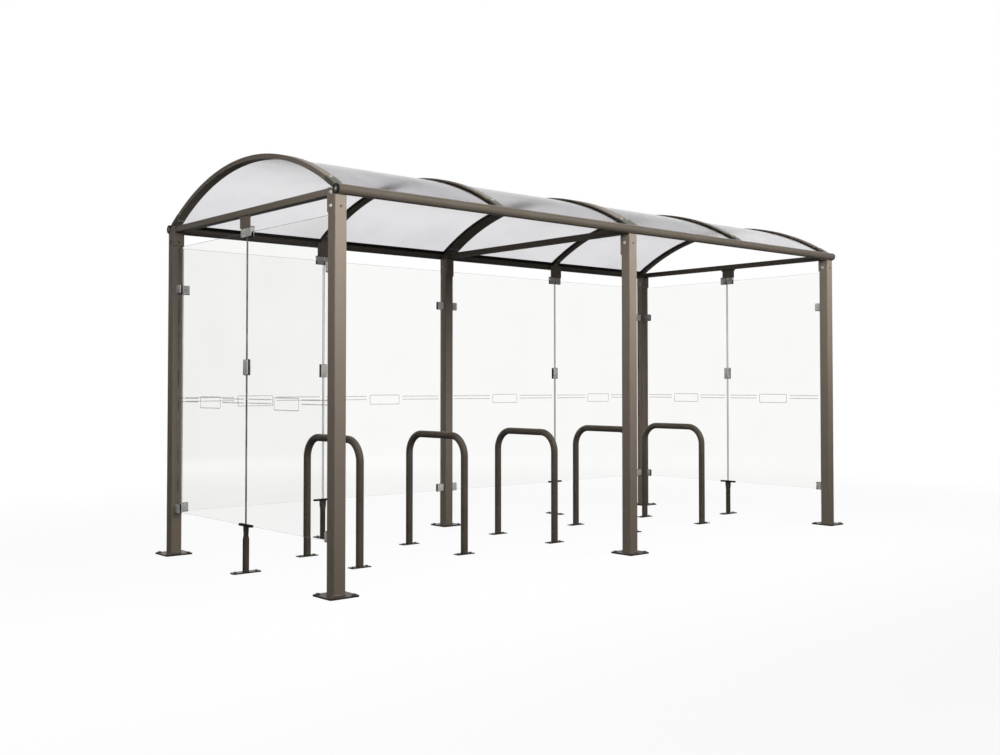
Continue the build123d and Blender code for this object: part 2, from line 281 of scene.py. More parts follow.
@cache
def weather_effect() -> Tree:
    """Build the dirt that weather leaves: soft patches, runs down a face, dust and floor splash.

    Returns:
        A group that takes Colour, Dirt Colour, Patches, Runs, Dust and Roughness, and gives the
        changed Colour and Roughness and the Dirt mask.
    """
    graph, given, taken = open_group(
        "Weathering",
        {"Colour": tuple, "Dirt Colour": tuple, "Patches": float, "Runs": float, "Dust": float,
         "Roughness": float},
        {"Colour": tuple, "Roughness": float, "Dirt": float},
    )
    place = graph.place()
    height = graph.part(place, "Z")
    normal = graph.add("NewGeometry").outputs["Normal"]
    upward = graph.span(graph.part(normal, "Z"), *DUSTY_SLOPE)
    blotch = graph.span(graph.noise(place, PATCH_SCALE, 5.0, 0.62), *PATCH_RANGE)
    streak = graph.span(graph.noise(graph.stretched(RUN_STRETCH), 1.0), *RUN_RANGE)
    speck = graph.span(graph.noise(place, SPECK_SCALE, 4.0, 0.7), *SPECK_RANGE)
    splash = graph.math("MULTIPLY", graph.span(height, SPLASH_HEIGHT, 0.0), speck)
    patches = graph.math("MULTIPLY", blotch, given["Patches"])
    runs = graph.math("MULTIPLY", graph.math("MULTIPLY", streak, speck), given["Runs"])
    lying = graph.math("MULTIPLY", graph.math("MAXIMUM", upward, splash), given["Dust"])
    dust = graph.math("MULTIPLY", lying, graph.span(blotch, 0.0, 1.0, 0.45, 1.0))
    total = graph.math("ADD", graph.math("ADD", patches, runs), dust)
    dirt = graph.math("MINIMUM", total, 1.0)
    return graph.give(taken, {
        "Colour": graph.mix(dirt, given["Colour"], given["Dirt Colour"]),
        "Roughness": graph.math("MULTIPLY_ADD", dirt, DIRT_ROUGHNESS, given["Roughness"]),
        "Dirt": dirt})


@cache
def edge_effect() -> Tree:
    """Build softened, slightly rubbed edges.

    Returns:
        A group that takes Colour, Bare Colour, Radius and Amount, and gives the changed Colour,
        the Edge mask and the rounded Normal.
    """
    graph, given, taken = open_group(
        "Edge wear",
        {"Colour": tuple, "Bare Colour": tuple, "Radius": float, "Amount": float},
        {"Colour": tuple, "Edge": float, "Normal": Vector},
    )
    rounded = graph.add("Bevel", {"Radius": given["Radius"]}, samples=4).outputs[0]
    flat = graph.add("NewGeometry").outputs["Normal"]
    same = graph.add("VectorMath", {0: rounded, 1: flat}, operation="DOT_PRODUCT").outputs["Value"]
    edge = graph.span(same, *EDGE_COSINES)
    rub = graph.span(graph.noise(graph.place(), RUB_SCALE, 4.0, 0.65), *RUB_RANGE)
    worn = graph.math("MULTIPLY", graph.math("MULTIPLY", edge, rub), given["Amount"])
    return graph.give(taken, {
        "Colour": graph.mix(worn, given["Colour"], given["Bare Colour"]), "Edge": worn,
        "Normal": rounded})


@cache
def brush_effect() -> Tree:
    """Build the fine parallel lines of brushed metal, running along Z.

    Returns:
        A group that takes Scale, and gives Height and a Tone that changes from line to line.
    """
    graph, given, taken = open_group(
        "Brushed lines", {"Scale": float}, {"Height": float, "Tone": float}
    )
    lines = graph.noise(graph.stretched(LINE_STRETCH), given["Scale"])
    broad = graph.noise(graph.place(), graph.math("MULTIPLY", given["Scale"], 0.03), detail=2.0)
    tone = graph.math("MULTIPLY_ADD", graph.math("SUBTRACT", lines, 0.5), 0.6, broad)
    return graph.give(taken, {"Height": lines, "Tone": tone})


# ------------------------------------------------------------------ finishes


@dataclass(frozen=True)
class Weathered:
    """Base of the finishes that weather and dirt change."""

    name: str
    colour: Colour
    slot: Slot = Slot.FRAME_COAT
    dirt: Colour = shade(104, 101, 96)
    roughness: float = 0.30
    patches: float = 0.10
    runs: float = 0.0
    dust: float = 0.10

    def weather(self, graph: Graph, colour: object) -> Outputs:
        """Return the weather effect's outputs for a colour of the finish."""
        return graph.effect(weather_effect(), {
            "Colour": colour, "Dirt Colour": self.dirt, "Patches": self.patches,
            "Runs": self.runs, "Dust": self.dust, "Roughness": self.roughness})


@dataclass(frozen=True)
class WornFinish(Weathered):
    """Base of the opaque finishes, with rubbed edges and a fine relief.

    The bare colour shows where an edge is rubbed; without one it is the finish's own colour.
    """

    bare: Colour | None = None
    wear: float = 0.50
    edge_radius: float = 0.0009
    relief: float = 0.12
    relief_depth: float = 0.0004
    fleck_share: float = 0.10

    def dress(
        self, graph: Graph, colour: object, height: Socket,
        sockets: Mapping[str, float], fleck: Socket | None = None,
    ) -> None:
        """Link the weathered and rubbed colour, with its relief, to the surface.

        Args:
            graph: The material's graph.
            colour: The clean colour, or its socket.
            height: The relief's height.
            sockets: Plain values of the shader's own sockets.
            fleck: Where the bare colour shines faintly through, if it does.
        """
        bare = self.bare or self.colour
        weather = self.weather(graph, colour)
        edge = graph.effect(edge_effect(), {
            "Colour": weather["Colour"], "Bare Colour": bare, "Radius": self.edge_radius,
            "Amount": self.wear})
        seen = edge["Colour"]
        if fleck is not None:
            seen = graph.mix(graph.math("MULTIPLY", fleck, self.fleck_share), seen, bare)
        bump = graph.add("Bump", {"Strength": self.relief, "Distance": self.relief_depth,
                                  "Height": height, "Normal": edge["Normal"]})
        shader = graph.add("BsdfPrincipled", {
            "Base Color": seen, "Roughness": weather["Roughness"],
            "Normal": bump.outputs[0], **sockets})
        graph.surface(shader.outputs[0])


@dataclass(frozen=True)
class PowderCoat(WornFinish):
    """Satin powder coat on steel, rubbed at the edges and near-black brown on the foot plates."""

    dirt: Colour = shade(150, 143, 132)
    roughness: float = 0.36
    runs: float = 0.10
    bare: Colour | None = shade(158, 150, 139)
    wear: float = 0.30
    edge_radius: float = 0.0016
    relief: float = 0.22
    relief_depth: float = 0.0006
    foot_dark_colour: Colour = shade(44, 40, 35)
    foot_dark_share: float = 0.90
    foot_dark_height: float = 0.0104
    foot_dark_fade: float = 0.0016
    grain_scale: float = 900.0
    gloss: float = 0.22

    def build(self) -> Material:
        """Build the material."""
        material, graph = Graph.of_material(self.name)
        grain = graph.effect(grain_effect(), {"Scale": self.grain_scale})
        height = graph.part(graph.place(), "Z")
        # Near-black brown is mixed in below the height of the foot plates.
        share = graph.span(height, self.foot_dark_height, self.foot_dark_height + self.foot_dark_fade,
                           self.foot_dark_share, 0.0)
        self.dress(graph, graph.mix(share, self.colour, self.foot_dark_colour), grain["Height"],
                   {"Specular IOR Level": self.gloss}, grain["Fleck"])
        return material


@dataclass(frozen=True)
class ClearSheet(Weathered):
    """See-through sheet or glass, which lets light through to what stands behind it.

    Light that passes on to other things takes the shadow colour. Toward both eaves the colour
    is mixed, in clouds, toward the dirt colour, as painted shade of the frame behind the sheet.
    """

    slot: Slot = Slot.SAFETY_GLASS
    shadow: Colour = shade(246, 247, 246)
    refraction: float = 1.10
    dust: float = 0.04
    ripple: float = 0.0
    ripple_scale: float = 6.0
    ripple_depth: float = 0.002
    eave_shade: float = 0.0
    eave_shade_start: float = 0.55
    eave_shade_end: float = 1.10
    cloud_scale: float = 1.7
    cloud_least: float = 0.35

    def build(self) -> Material:
        """Build the material."""
        material, graph = Graph.of_material(self.name)
        across = graph.math("ABSOLUTE", graph.part(graph.place(), "Y"))
        cloud = graph.span(graph.noise(graph.place(), self.cloud_scale, detail=2.0), 0.38, 0.68,
                           self.cloud_least, 1.0)
        # Painted shade: toward both eaves the colour goes, in clouds, toward the dirt colour.
        eave_shading = graph.span(across, self.eave_shade_start, self.eave_shade_end, 0.0, self.eave_shade)
        share = graph.math("MULTIPLY", eave_shading, cloud)
        weather = self.weather(graph, graph.mix(share, self.colour, self.dirt))
        waves = graph.noise(graph.place(), self.ripple_scale, detail=2.0)
        bump = graph.add("Bump", {"Strength": self.ripple, "Distance": self.ripple_depth,
                                  "Height": waves})
        pane = graph.add("BsdfPrincipled", {
            "Base Color": weather["Colour"], "Roughness": weather["Roughness"],
            "IOR": self.refraction, "Transmission Weight": 1.0, "Normal": bump.outputs[0]})
        clear = graph.add("BsdfTransparent", {"Color": self.shadow})
        rays = graph.add("LightPath").outputs
        passing = graph.math("MAXIMUM", rays["Is Shadow Ray"], rays["Is Diffuse Ray"])
        both = graph.add("MixShader", {0: passing, 1: pane.outputs[0], 2: clear.outputs[0]})
        graph.surface(both.outputs[0])
        return material


@dataclass(frozen=True)
class BrushedSteel(WornFinish):
    """Stainless or zinc-coated steel with brushed or turned lines."""

    slot: Slot = Slot.CLAMP_STEEL
    dirt: Colour = shade(96, 92, 86)
    patches: float = 0.12
    line_scale: float = 420.0
    line_share: float = 0.30
    metal: float = 1.0

    def build(self) -> Material:
        """Build the material."""
        material, graph = Graph.of_material(self.name)
        lines = graph.effect(brush_effect(), {"Scale": self.line_scale})
        share = graph.span(lines["Tone"], 0.25, 0.9, 0.0, self.line_share)
        self.dress(graph, graph.mix(share, self.colour, self.dirt), lines["Height"],
                   {"Metallic": self.metal})
        return material


@dataclass(frozen=True)
class SoftMoulding(WornFinish):
    """Rubber or moulded plastic with a matt, finely grained face."""

    slot: Slot = Slot.BLACK_PLASTIC
    roughness: float = 0.62
    runs: float = 0.05
    dust: float = 0.25
    bare: Colour | None = shade(104, 101, 96)
    wear: float = 0.25
    edge_radius: float = 0.0008
    relief: float = 0.35
    relief_depth: float = 0.0005
    grain_scale: float = 1400.0
    gloss: float = 0.35

    def build(self) -> Material:
        """Build the material."""
        material, graph = Graph.of_material(self.name)
        grain = graph.effect(grain_effect(), {"Scale": self.grain_scale})
        self.dress(graph, self.colour, grain["Height"], {"Specular IOR Level": self.gloss})
        return material


@dataclass(frozen=True)
class FrostedFilm:
    """Partly clear, finely grained frosted film, and pane edges in painted shade and light."""

    name: str
    colour: Colour
    opacity: float
    slot: Slot = Slot.SAFETY_GLASS
    worn_colour: Colour = shade(214, 214, 212)
    worn_share: float = 0.35
    roughness: float = 0.6
    grain_scale: float = 1600.0
    relief: float = 0.2
    relief_depth: float = 0.0002

    def build(self) -> Material:
        """Build the material."""
        material, graph = Graph.of_material(self.name)
        grain = graph.effect(grain_effect(), {"Scale": self.grain_scale})
        worn = graph.span(graph.noise(graph.place(), 9.0, detail=4.0), 0.35, 0.7, 0.0,
                          self.worn_share)
        bump = graph.add("Bump", {"Strength": self.relief, "Distance": self.relief_depth,
                                  "Height": grain["Height"]})
        shader = graph.add("BsdfPrincipled", {
            "Base Color": graph.mix(worn, self.colour, self.worn_colour),
            "Roughness": self.roughness, "Alpha": self.opacity, "Normal": bump.outputs[0]})
        graph.surface(shader.outputs[0])
        return material


@dataclass(frozen=True)
class StudioGround:
    """Plain pale floor that keeps a faint shadow and throws little light back up.

    Seen is the share of the light on it that shows, and lift is how much it shines by itself.
    Both fade to plain white, and beyond the end it takes no light at all.
    """

    name: str = "studio_ground"
    seen: float = 0.09
    lift: float = 0.915
    mirrored: float = 0.10
    bounce: float = 0.04
    fade_start: float = 3.0
    fade_end: float = 9.0
    light_end: float = 14.0

    def build(self) -> Material:
        """Build the material."""
        material, graph = Graph.of_material(self.name)
        looked_at, glossy = graph.looks()
        mirrored = graph.math("MULTIPLY", glossy, self.mirrored)
        away = graph.add("VectorMath", {0: graph.place()}, operation="LENGTH").outputs["Value"]
        seen = graph.span(away, self.fade_start, self.fade_end, self.seen, 0.0)
        lift = graph.span(away, self.fade_start, self.fade_end, self.lift, 1.0)
        lit = graph.math("MAXIMUM", graph.math("MULTIPLY", looked_at, seen), self.bounce)
        near = graph.span(away, self.fade_end, self.light_end, 1.0, 0.0)
        cover = graph.add("BsdfDiffuse", {"Color": graph.math("MULTIPLY", lit, near)})
        strength = graph.math("MULTIPLY", graph.math("MAXIMUM", looked_at, mirrored), lift)
        glow = graph.add("Emission", {"Strength": strength})
        both = graph.add("AddShader", {0: cover.outputs[0], 1: glow.outputs[0]})
        graph.surface(both.outputs[0])
        return material


@cache
def finish(kind: "Finish") -> Material:
    """Build a finish once, and return the same material each time it is asked for."""
    return kind.value.build()


class Finish(Enum):
    """Every finish on the shelter."""

    FRAME = PowderCoat("frame_powder_coat", shade(130, 119, 107))
    # Darker, glossier copy of the frame's coat for the eave tubes: the darker colour is painted
    # shade.
    TUBE = PowderCoat("eave_tube_coat_painted_shade", shade(84, 76, 67), roughness=0.24, runs=0.0,
                      patches=0.05, gloss=0.80)
    HOOP = PowderCoat("hoop_powder_coat", shade(92, 84, 74))
    STAND = PowderCoat("stand_powder_coat", shade(76, 69, 60), roughness=0.30)
    # Darker copy of the frame's coat for the roof edge trims, as painted shade.
    TRIM = PowderCoat("trim_coat_painted_shade", shade(84, 77, 69), roughness=0.38)
    SHOE = PowderCoat("bar_shoe_coat", shade(88, 88, 80), roughness=0.42)
    # The roof sheets' dirt colour also gives the painted shade toward the eaves.
    SHEET = ClearSheet(
        "roof_sheet_plastic", shade(231, 230, 232), Slot.CLEAR_SHEET,
        shadow=shade(168, 168, 169), dirt=shade(176, 175, 182), roughness=0.08, ripple=0.10,
        eave_shade=0.30)
    GLASS = ClearSheet(
        "safety_glass_pane", shade(250, 250, 249), dirt=shade(234, 235, 232), roughness=0.0,
        runs=0.08)
    # Upright pane edges are dark as painted shade; level edges are pale as painted light.
    EDGE = FrostedFilm("glass_edge_painted_shade", shade(58, 62, 60), opacity=0.78)
    RIM = FrostedFilm("glass_edge_painted_light", shade(208, 213, 211), opacity=0.16)
    CLAMP = BrushedSteel("clamp_brushed_steel", shade(240, 239, 235), roughness=0.50, metal=0.20)
    BOLT = BrushedSteel("bolt_stainless_steel", shade(222, 220, 215), roughness=0.36,
                        metal=0.40, line_scale=700.0, relief=0.05)
    ZINC = BrushedSteel("anchor_zinc_steel", shade(176, 171, 164), roughness=0.45,
                        line_scale=500.0, relief=0.05, patches=0.3)
    RUBBER = SoftMoulding("black_rubber_moulding", shade(26, 25, 24), Slot.BLACK_RUBBER)
    SEAL = SoftMoulding("bar_seal_rubber", shade(52, 48, 43), Slot.BLACK_RUBBER)
    # Near-black plugs: painted shade of the access holes.
    PLUG = SoftMoulding("hole_plug_painted_shade", shade(11, 10, 10), roughness=0.85, relief=0.1,
                        patches=0.03, dust=0.02, gloss=0.10)
    PLASTIC = SoftMoulding("black_plastic_moulding", shade(15, 14, 14), roughness=0.5,
                           relief=0.2, patches=0.04, dust=0.04)
    DISC = SoftMoulding("grey_plastic_disc", shade(92, 88, 82), roughness=0.4, relief=0.15)
    FILM = FrostedFilm("frosted_glass_film", shade(178, 178, 177), opacity=0.34)


# ------------------------------------------------------------------ mesh making


@dataclass(frozen=True)
class Ring:
    """One ring of a turned form: its radius, its height, and whether it is a hexagon."""

    radius: float
    height: float
    hexagon: bool = False

    def reach(self, angle: float) -> float:
        """Return the distance from the axis at an angle; a hexagon's radius is to its flats."""
        if not self.hexagon:
            return self.radius
        return self.radius / cos((angle + pi / 6) % (pi / 3) - pi / 6)


class Shape:
    """A mesh that grows by closed forms. Every step of its growth returns the shape."""

    def __init__(self) -> None:
        """Start empty."""
        self.mesh = bmesh.new()

    def skin(self, rows: Sequence[Sequence[Vector]], loop: bool = False) -> "Shape":
        """Join rows of points into one closed form.

        Args:
            rows: Closed rings of equally many points, or single points at the ends.
            loop: Whether the last row joins the first; otherwise the ends are closed flat.

        Returns:
            The shape.
        """
        made = [[self.mesh.verts.new(point) for point in row] for row in rows]
        pairs = list(zip(made, made[1:]))
        if loop:
            pairs.append((made[-1], made[0]))
        for low, high in pairs:
            count = max(len(low), len(high))
            for i in range(count):
                j = (i + 1) % count
                corners = [low[i % len(low)], low[j % len(low)], high[j % len(high)],
                           high[i % len(high)]]
                self.mesh.faces.new(list(dict.fromkeys(corners)))
        if not loop:
            for end in (made[0], made[-1]):
                if len(end) > 2:
                    self.mesh.faces.new(end)
        return self

    def turn(self, rings: Sequence[Ring], segments: int = 24, loop: bool = False) -> "Shape":
        """Add a form turned round Z.

        Args:
            rings: Its outline, from ring to ring.
            segments: Number of faces round the axis.
            loop: Whether the outline closes on itself, as a ring's does.

        Returns:
            The shape.
        """
        rows = []
        for ring in rings:
            angles = [tau * i / segments for i in range(segments)] if ring.radius else [0.0]
            rows.append([Vector((ring.reach(a) * cos(a), ring.reach(a) * sin(a), ring.height))
                         for a in angles])
        return self.skin(rows, loop)

    def prism(
        self, outline: Sequence[Pair], height: float, bevel: float, steps: int = 2
    ) -> "Shape":
        """Add an upright block with rounded edges, standing on Z = 0.

        Args:
            outline: Corners of its plan, in order.
            height: Its height.
            bevel: Radius of its edges.
            steps: Number of faces round each edge.

        Returns:
            The shape.
        """
        block = Shape().skin([[Vector((x, y, z)) for x, y in outline] for z in (0.0, height)])
        bmesh.ops.bevel(block.mesh, geom=block.mesh.edges[:], offset=bevel, segments=steps,
                        profile=0.5, affect="EDGES", clamp_overlap=True)
        return self.stamp(block)

    def stamp(self, part: "Shape", places: Iterable[Matrix] = (Matrix.Identity(4),)) -> "Shape":
        """Copy another shape into this one.

        Args:
            part: The shape that is copied.
            places: Where each copy goes; otherwise one copy stays where it is drawn.

        Returns:
            The shape.
        """
        source = bpy.data.meshes.new("part")
        part.mesh.to_mesh(source)
        for place in places:
            start = len(self.mesh.verts)
            self.mesh.from_mesh(source)
            self.mesh.verts.ensure_lookup_table()
            bmesh.ops.transform(self.mesh, matrix=place, verts=self.mesh.verts[start:])
        bpy.data.meshes.remove(source)
        return self

    def piece(self, name: str, look: Finish, replaces: Sequence[str] = ()) -> None:
        """Turn the shape into a finished piece of the shelter.

        Args:
            name: The piece's name.
            look: Its finish.
            replaces: Solid nodes that it stands for.
        """
        bmesh.ops.recalc_face_normals(self.mesh, faces=self.mesh.faces[:])
        mesh = bpy.data.meshes.new(name)
        self.mesh.to_mesh(mesh)
        self.mesh.free()
        mesh.polygons.foreach_set("use_smooth", [True] * len(mesh.polygons))
        mesh.set_sharp_from_angle(angle=SHARP_ANGLE)
        mesh.materials.append(finish(look))
        thing = bpy.data.objects.new(name, mesh)
        bpy.context.scene.collection.objects.link(thing)
        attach(thing, BODY)
        if replaces:
            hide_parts(*replaces)
        LOG.info("%s: %d faces", name, len(mesh.polygons))


def facing(origin: Vector, direction: Vector) -> Matrix:
    """Return the place at a point whose local Z looks in a direction."""
    turn = direction.to_track_quat("Z", "Y").to_matrix().to_4x4()
    return Matrix.Translation(origin) @ turn


def rectangle(length: float, width: float) -> list[Pair]:
    """Return the corners of a rectangle round the origin."""
    x, y = length / 2, width / 2
    return [(-x, -y), (x, -y), (x, y), (-x, y)]


def round_path(length: float, width: float, corner: float, steps: int = 6) -> list[Vector]:
    """Return the outline of a rectangle with round corners.

    Args:
        length: Its length along X.
        width: Its width along Y.
        corner: Radius of the corners.
        steps: Number of faces round each corner.

    Returns:
        The outline's points, counter-clockwise round the origin in the plane Z = 0.
    """
    points = []
    for index, (x, y) in enumerate(rectangle(length, width)):
        centre = Vector((x - copysign(corner, x), y - copysign(corner, y), 0))
        start = pi + index * pi / 2
        for step in range(steps + 1):
            angle = start + pi / 2 * step / steps
            points.append(centre + corner * Vector((cos(angle), sin(angle), 0)))
    return points


# ------------------------------------------------------------------ fasteners


def washer(radius: float, height: float, soft: float) -> list[Ring]:
    """Return the outline of a washer with soft rims on Z = 0; the bolt covers its hole."""
    return [Ring(0, 0), Ring(radius - soft, 0), Ring(radius, soft), Ring(radius, height - soft),
            Ring(radius - soft, height), Ring(0, height)]


@dataclass(frozen=True)
class DomeBolt:
    """Domed socket-head bolt on a thin washer."""

    head_radius: float = 0.0120
    head_height: float = 0.0085
    socket: float = 0.0034
    socket_depth: float = 0.0035
    washer_radius: float = 0.0138
    washer_height: float = 0.0014
    rim_share: float = 0.22
    dome_steps: int = 8
    soft: float = 0.0004
    drill: float = 0.0008

    def shape(self) -> Shape:
        """Return the bolt with its washer, seated on Z = 0."""
        edge, top = self.washer_height, self.washer_height + self.head_height
        dome = []
        for step in range(self.dome_steps):
            angle = step * pi / (2 * self.dome_steps)
            rise = self.rim_share + (1 - self.rim_share) * sin(angle)
            dome.append(Ring(self.head_radius * cos(angle), edge + self.head_height * rise))
        kept = [ring for ring in dome if ring.radius > self.socket * 1.35]
        return Shape().turn(washer(self.washer_radius, edge, self.soft)).turn([
            Ring(0, edge), Ring(self.head_radius, edge), *kept, Ring(self.socket * 1.25, top),
            Ring(self.socket, top - self.soft, True),
            Ring(self.socket, top - self.socket_depth, True),
            Ring(0, top - self.socket_depth - self.drill)])


@dataclass(frozen=True)
class AnchorNut:
    """Low hexagon nut and washer on the end of a ground anchor."""

    flats: float = 0.024
    nut_height: float = 0.0058
    stud_radius: float = 0.006
    stud_rise: float = 0.0012
    washer_radius: float = 0.0165
    washer_height: float = 0.0020
    washer_soft: float = 0.0005
    foot: float = 0.0008
    soft: float = 0.0012

    def shape(self) -> Shape:
        """Return the nut, its washer and the stud's end, seated on Z = 0."""
        low, half, soft = self.washer_height, self.flats / 2, self.soft
        high = low + self.nut_height
        stud, tip = self.stud_radius * 0.95, high + self.stud_rise
        return Shape().turn(washer(self.washer_radius, low, self.washer_soft)).turn([
            Ring(0, low), Ring(half * 0.97, low), Ring(half, low + self.foot, True),
            Ring(half, high - soft, True), Ring(half * 0.95, high),
            Ring(self.stud_radius * 1.12, high), Ring(self.stud_radius, high - soft),
            Ring(0, high - soft)]).turn([
                Ring(0, low), Ring(stud, low), Ring(stud, tip - soft), Ring(stud - soft, tip),
                Ring(0, tip)], segments=20)


SMALL_NUT = AnchorNut(0.016, 0.0044, 0.005, 0.0010, 0.0110, 0.0016)


@dataclass(frozen=True)
class FlushScrew:
    """Flush socket screw in a shallow countersink."""

    radius: float = 0.007
    rise: float = 0.0009
    socket: float = 0.0026
    seat: float = 0.002
    soft: float = 0.0006
    socket_floor: float = 0.0012
    drill_floor: float = 0.0016

    def shape(self) -> Shape:
        """Return the screw head, seated a little above Z = 0."""
        return Shape().turn([
            Ring(0, -self.seat), Ring(self.radius, -self.seat),
            Ring(self.radius, self.rise * 0.4), Ring(self.radius - self.soft, self.rise),
            Ring(self.socket * 1.3, self.rise),
            Ring(self.socket, self.rise - self.soft / 2, True),
            Ring(self.socket, -self.socket_floor, True), Ring(0, -self.drill_floor)])


@dataclass(frozen=True)
class HolePlug:
    """Plug pressed into an access hole, dished, and near-black as painted shade of the hole."""

    radius: float = 0.0080
    rise: float = 0.0010
    seat: float = 0.001
    dish: float = 0.0008

    def shape(self) -> Shape:
        """Return the plug, seated on Z = 0."""
        return Shape().turn([
            Ring(0, -self.seat), Ring(self.radius, -self.seat),
            Ring(self.radius, self.rise * 0.5), Ring(self.radius * 0.9, self.rise),
            Ring(self.radius * 0.62, self.rise), Ring(self.radius * 0.5, -self.dish / 2),
            Ring(0, -self.dish)])


@dataclass(frozen=True)
class WeldBead:
    """Rippled fillet weld that runs once round the foot of a tube."""

    size: float = 0.0042
    ripples_per_metre: float = 190.0
    ripple: float = 0.14
    sides: int = 8
    points_per_ripple: int = 3
    least_points: int = 48

    def follow(self, path: Sequence[Vector], place: Matrix) -> Shape:
        """Lay the bead along a closed path.

        Args:
            path: Points of the path, in order, in the plane Z = 0.
            place: Where the path goes.

        Returns:
            The bead.
        """
        rows, travelled, count = [], 0.0, len(path)
        for index, point in enumerate(path):
            ahead = path[(index + 1) % count] - path[index - 1]
            travelled += (point - path[index - 1]).length if index else 0.0
            outward = Vector((ahead.y, -ahead.x, 0)).normalized()
            size = self.size * (1 + self.ripple * sin(tau * travelled * self.ripples_per_metre))
            rows.append([place @ (point + size * (cos(a) * outward + Vector((0, 0, sin(a)))))
                         for a in (tau * s / self.sides for s in range(self.sides))])
        return Shape().skin(rows, loop=True)

    def ring(self, radius: float, place: Matrix) -> Shape:
        """Lay the bead round a round tube of a radius, at a place."""
        count = max(self.least_points,
                    int(tau * radius * self.ripples_per_metre * self.points_per_ripple))
        path = [radius * Vector((cos(tau * i / count), sin(tau * i / count), 0))
                for i in range(count)]
        return self.follow(path, place)


def spaced(path: Sequence[Vector], step: float) -> list[Vector]:
    """Return evenly spaced points along a closed path."""
    points: list[Vector] = []
    for start, end in zip(path, [*path[1:], path[0]]):
        pieces = max(1, round((end - start).length / step))
        points += [start.lerp(end, i / pieces) for i in range(pieces)]
    return points


# ------------------------------------------------------------------ where things stand


@dataclass(frozen=True)
class Post:
    """Where one post stands; end is -1 at the left end, 1 at the right end and 0 between."""

    x: float
    y: float
    top: float
    side: Side
    end: int


@dataclass(frozen=True)
class Wall:
    """One glazed wall, with its own axes: u along it, v out of it and w up.

    The joints and the places by posts are distances along u from the wall's middle.
    """

    name: str
    middle: Vector
    outward: Vector
    spans: tuple[Pair, ...]
    joints: tuple[float, ...]
    posts: tuple[tuple[float, int], ...]
    low: float
    high: float

    def at(self, along: float, out: float, height: float, flip: bool = False) -> Matrix:
        """Return a place in the wall's own axes.

        Args:
            along: Distance along the wall from its middle.
            out: Distance out of the wall's plane.
            height: Height above the floor.
            flip: Whether the place is turned half round, to look into the shelter.

        Returns:
            The matrix that brings a form drawn round the origin to that place.
        """
        along_axis = self.outward.cross(Vector((0, 0, 1)))
        axes = Matrix((along_axis, self.outward, Vector((0, 0, 1)))).transposed().to_4x4()
        spot = self.middle + along * along_axis + out * self.outward + Vector((0, 0, height))
        turned = Matrix.Rotation(pi, 4, "Z") if flip else Matrix.Identity(4)
        return Matrix.Translation(spot) @ axes @ turned


@dataclass(frozen=True)
class Roof:
    """The roof's curve: arcs round one axis along X."""

    inner: float = 1.971
    outer: float = 2.0015
    bar_width: float = 0.060
    centre: float = 0.0

    @classmethod
    def measured(cls) -> "Roof":
        """Return the roof with its axis at the height that the solid bars give."""
        return cls(centre=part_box("roof_bar_left_end")[1].z - cls.outer)

    def at(self, x: float, y: float, radius: float, inward: bool = False) -> Matrix:
        """Return the place on an arc over a point, looking out of the roof or into it."""
        angle = asin(y / radius)
        out = Vector((0, sin(angle), cos(angle)))
        spot = Vector((x, 0, self.centre)) + radius * out
        return facing(spot, -out if inward else out)


@dataclass
class Site:
    """Everything that later parts stand on, read from the solid model."""

    posts: list[Post] = field(default_factory=list)
    walls: list[Wall] = field(default_factory=list)
    roof: Roof = field(default_factory=Roof.measured)
    bars: list[tuple[float, tuple[int, ...]]] = field(default_factory=list)

    def __post_init__(self) -> None:
        """Read the places of posts, walls and roof bars."""
        for end, column in enumerate(("left", "middle", "right"), -1):
            for side, row in ((Side.FRONT, "front"), (Side.REAR, "rear")):
                low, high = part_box(f"post_{row}_{column}")
                self.posts.append(
                    Post((low.x + high.x) / 2, (low.y + high.y) / 2, high.z, side, end))
        for column, way in (("left", -1), ("right", 1)):
            panes = [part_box(f"glass_{column}_{half}") for half in ("front", "rear")]
            self.walls.append(self.wall(column, Vector((way, 0, 0)), panes, [-1, 1]))
        panes = [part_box(f"glass_rear_{number}") for number in (1, 2, 3, 4)]
        self.walls.append(self.wall("rear", Vector((0, 1, 0)), panes, [-1, 0, 1]))
        half = self.roof.bar_width / 2
        for name, sides in (("left_end", (1,)), ("left_bay", (-1, 1)), ("right_bay", (-1, 1)),
                            ("right_end", (-1,))):
            low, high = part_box(f"roof_bar_{name}")
            self.bars.append(((low.x + high.x) / 2, sides))
        self.bars += [(-half, (-1,)), (half, (1,))]

    def wall(
        self, name: str, outward: Vector, panes: Sequence[tuple[Vector, Vector]],
        ends: Sequence[int],
    ) -> Wall:
        """Read one wall from its panes.

        Args:
            name: The wall's name.
            outward: The direction out of the shelter.
            panes: The corners of each pane.
            ends: Which posts carry the wall, as the sign of their place.

        Returns:
            The wall.
        """
        along = outward.cross(Vector((0, 0, 1)))
        plane = sum(((low + high) / 2 for low, high in panes), Vector()) / len(panes)
        middle = outward * plane.dot(outward)
        spans = sorted(tuple(sorted((low.dot(along), high.dot(along)))) for low, high in panes)
        joints = tuple((first[1] + second[0]) / 2 for first, second in zip(spans, spans[1:])
                       if second[0] - first[1] < 0.05)
        if outward.y:
            stands = [(p.x, p.end) for p in self.posts if p.side is Side.REAR]
        else:
            stands = [(p.y * along.y, int(p.side.value * along.y)) for p in self.posts
                      if p.end == ends[0] * (1 if outward.x < 0 else -1)]
        return Wall(name, middle, outward, tuple(spans), joints, tuple(stands),
                    panes[0][0].z, panes[0][1].z)


# ------------------------------------------------------------------ sub-assemblies


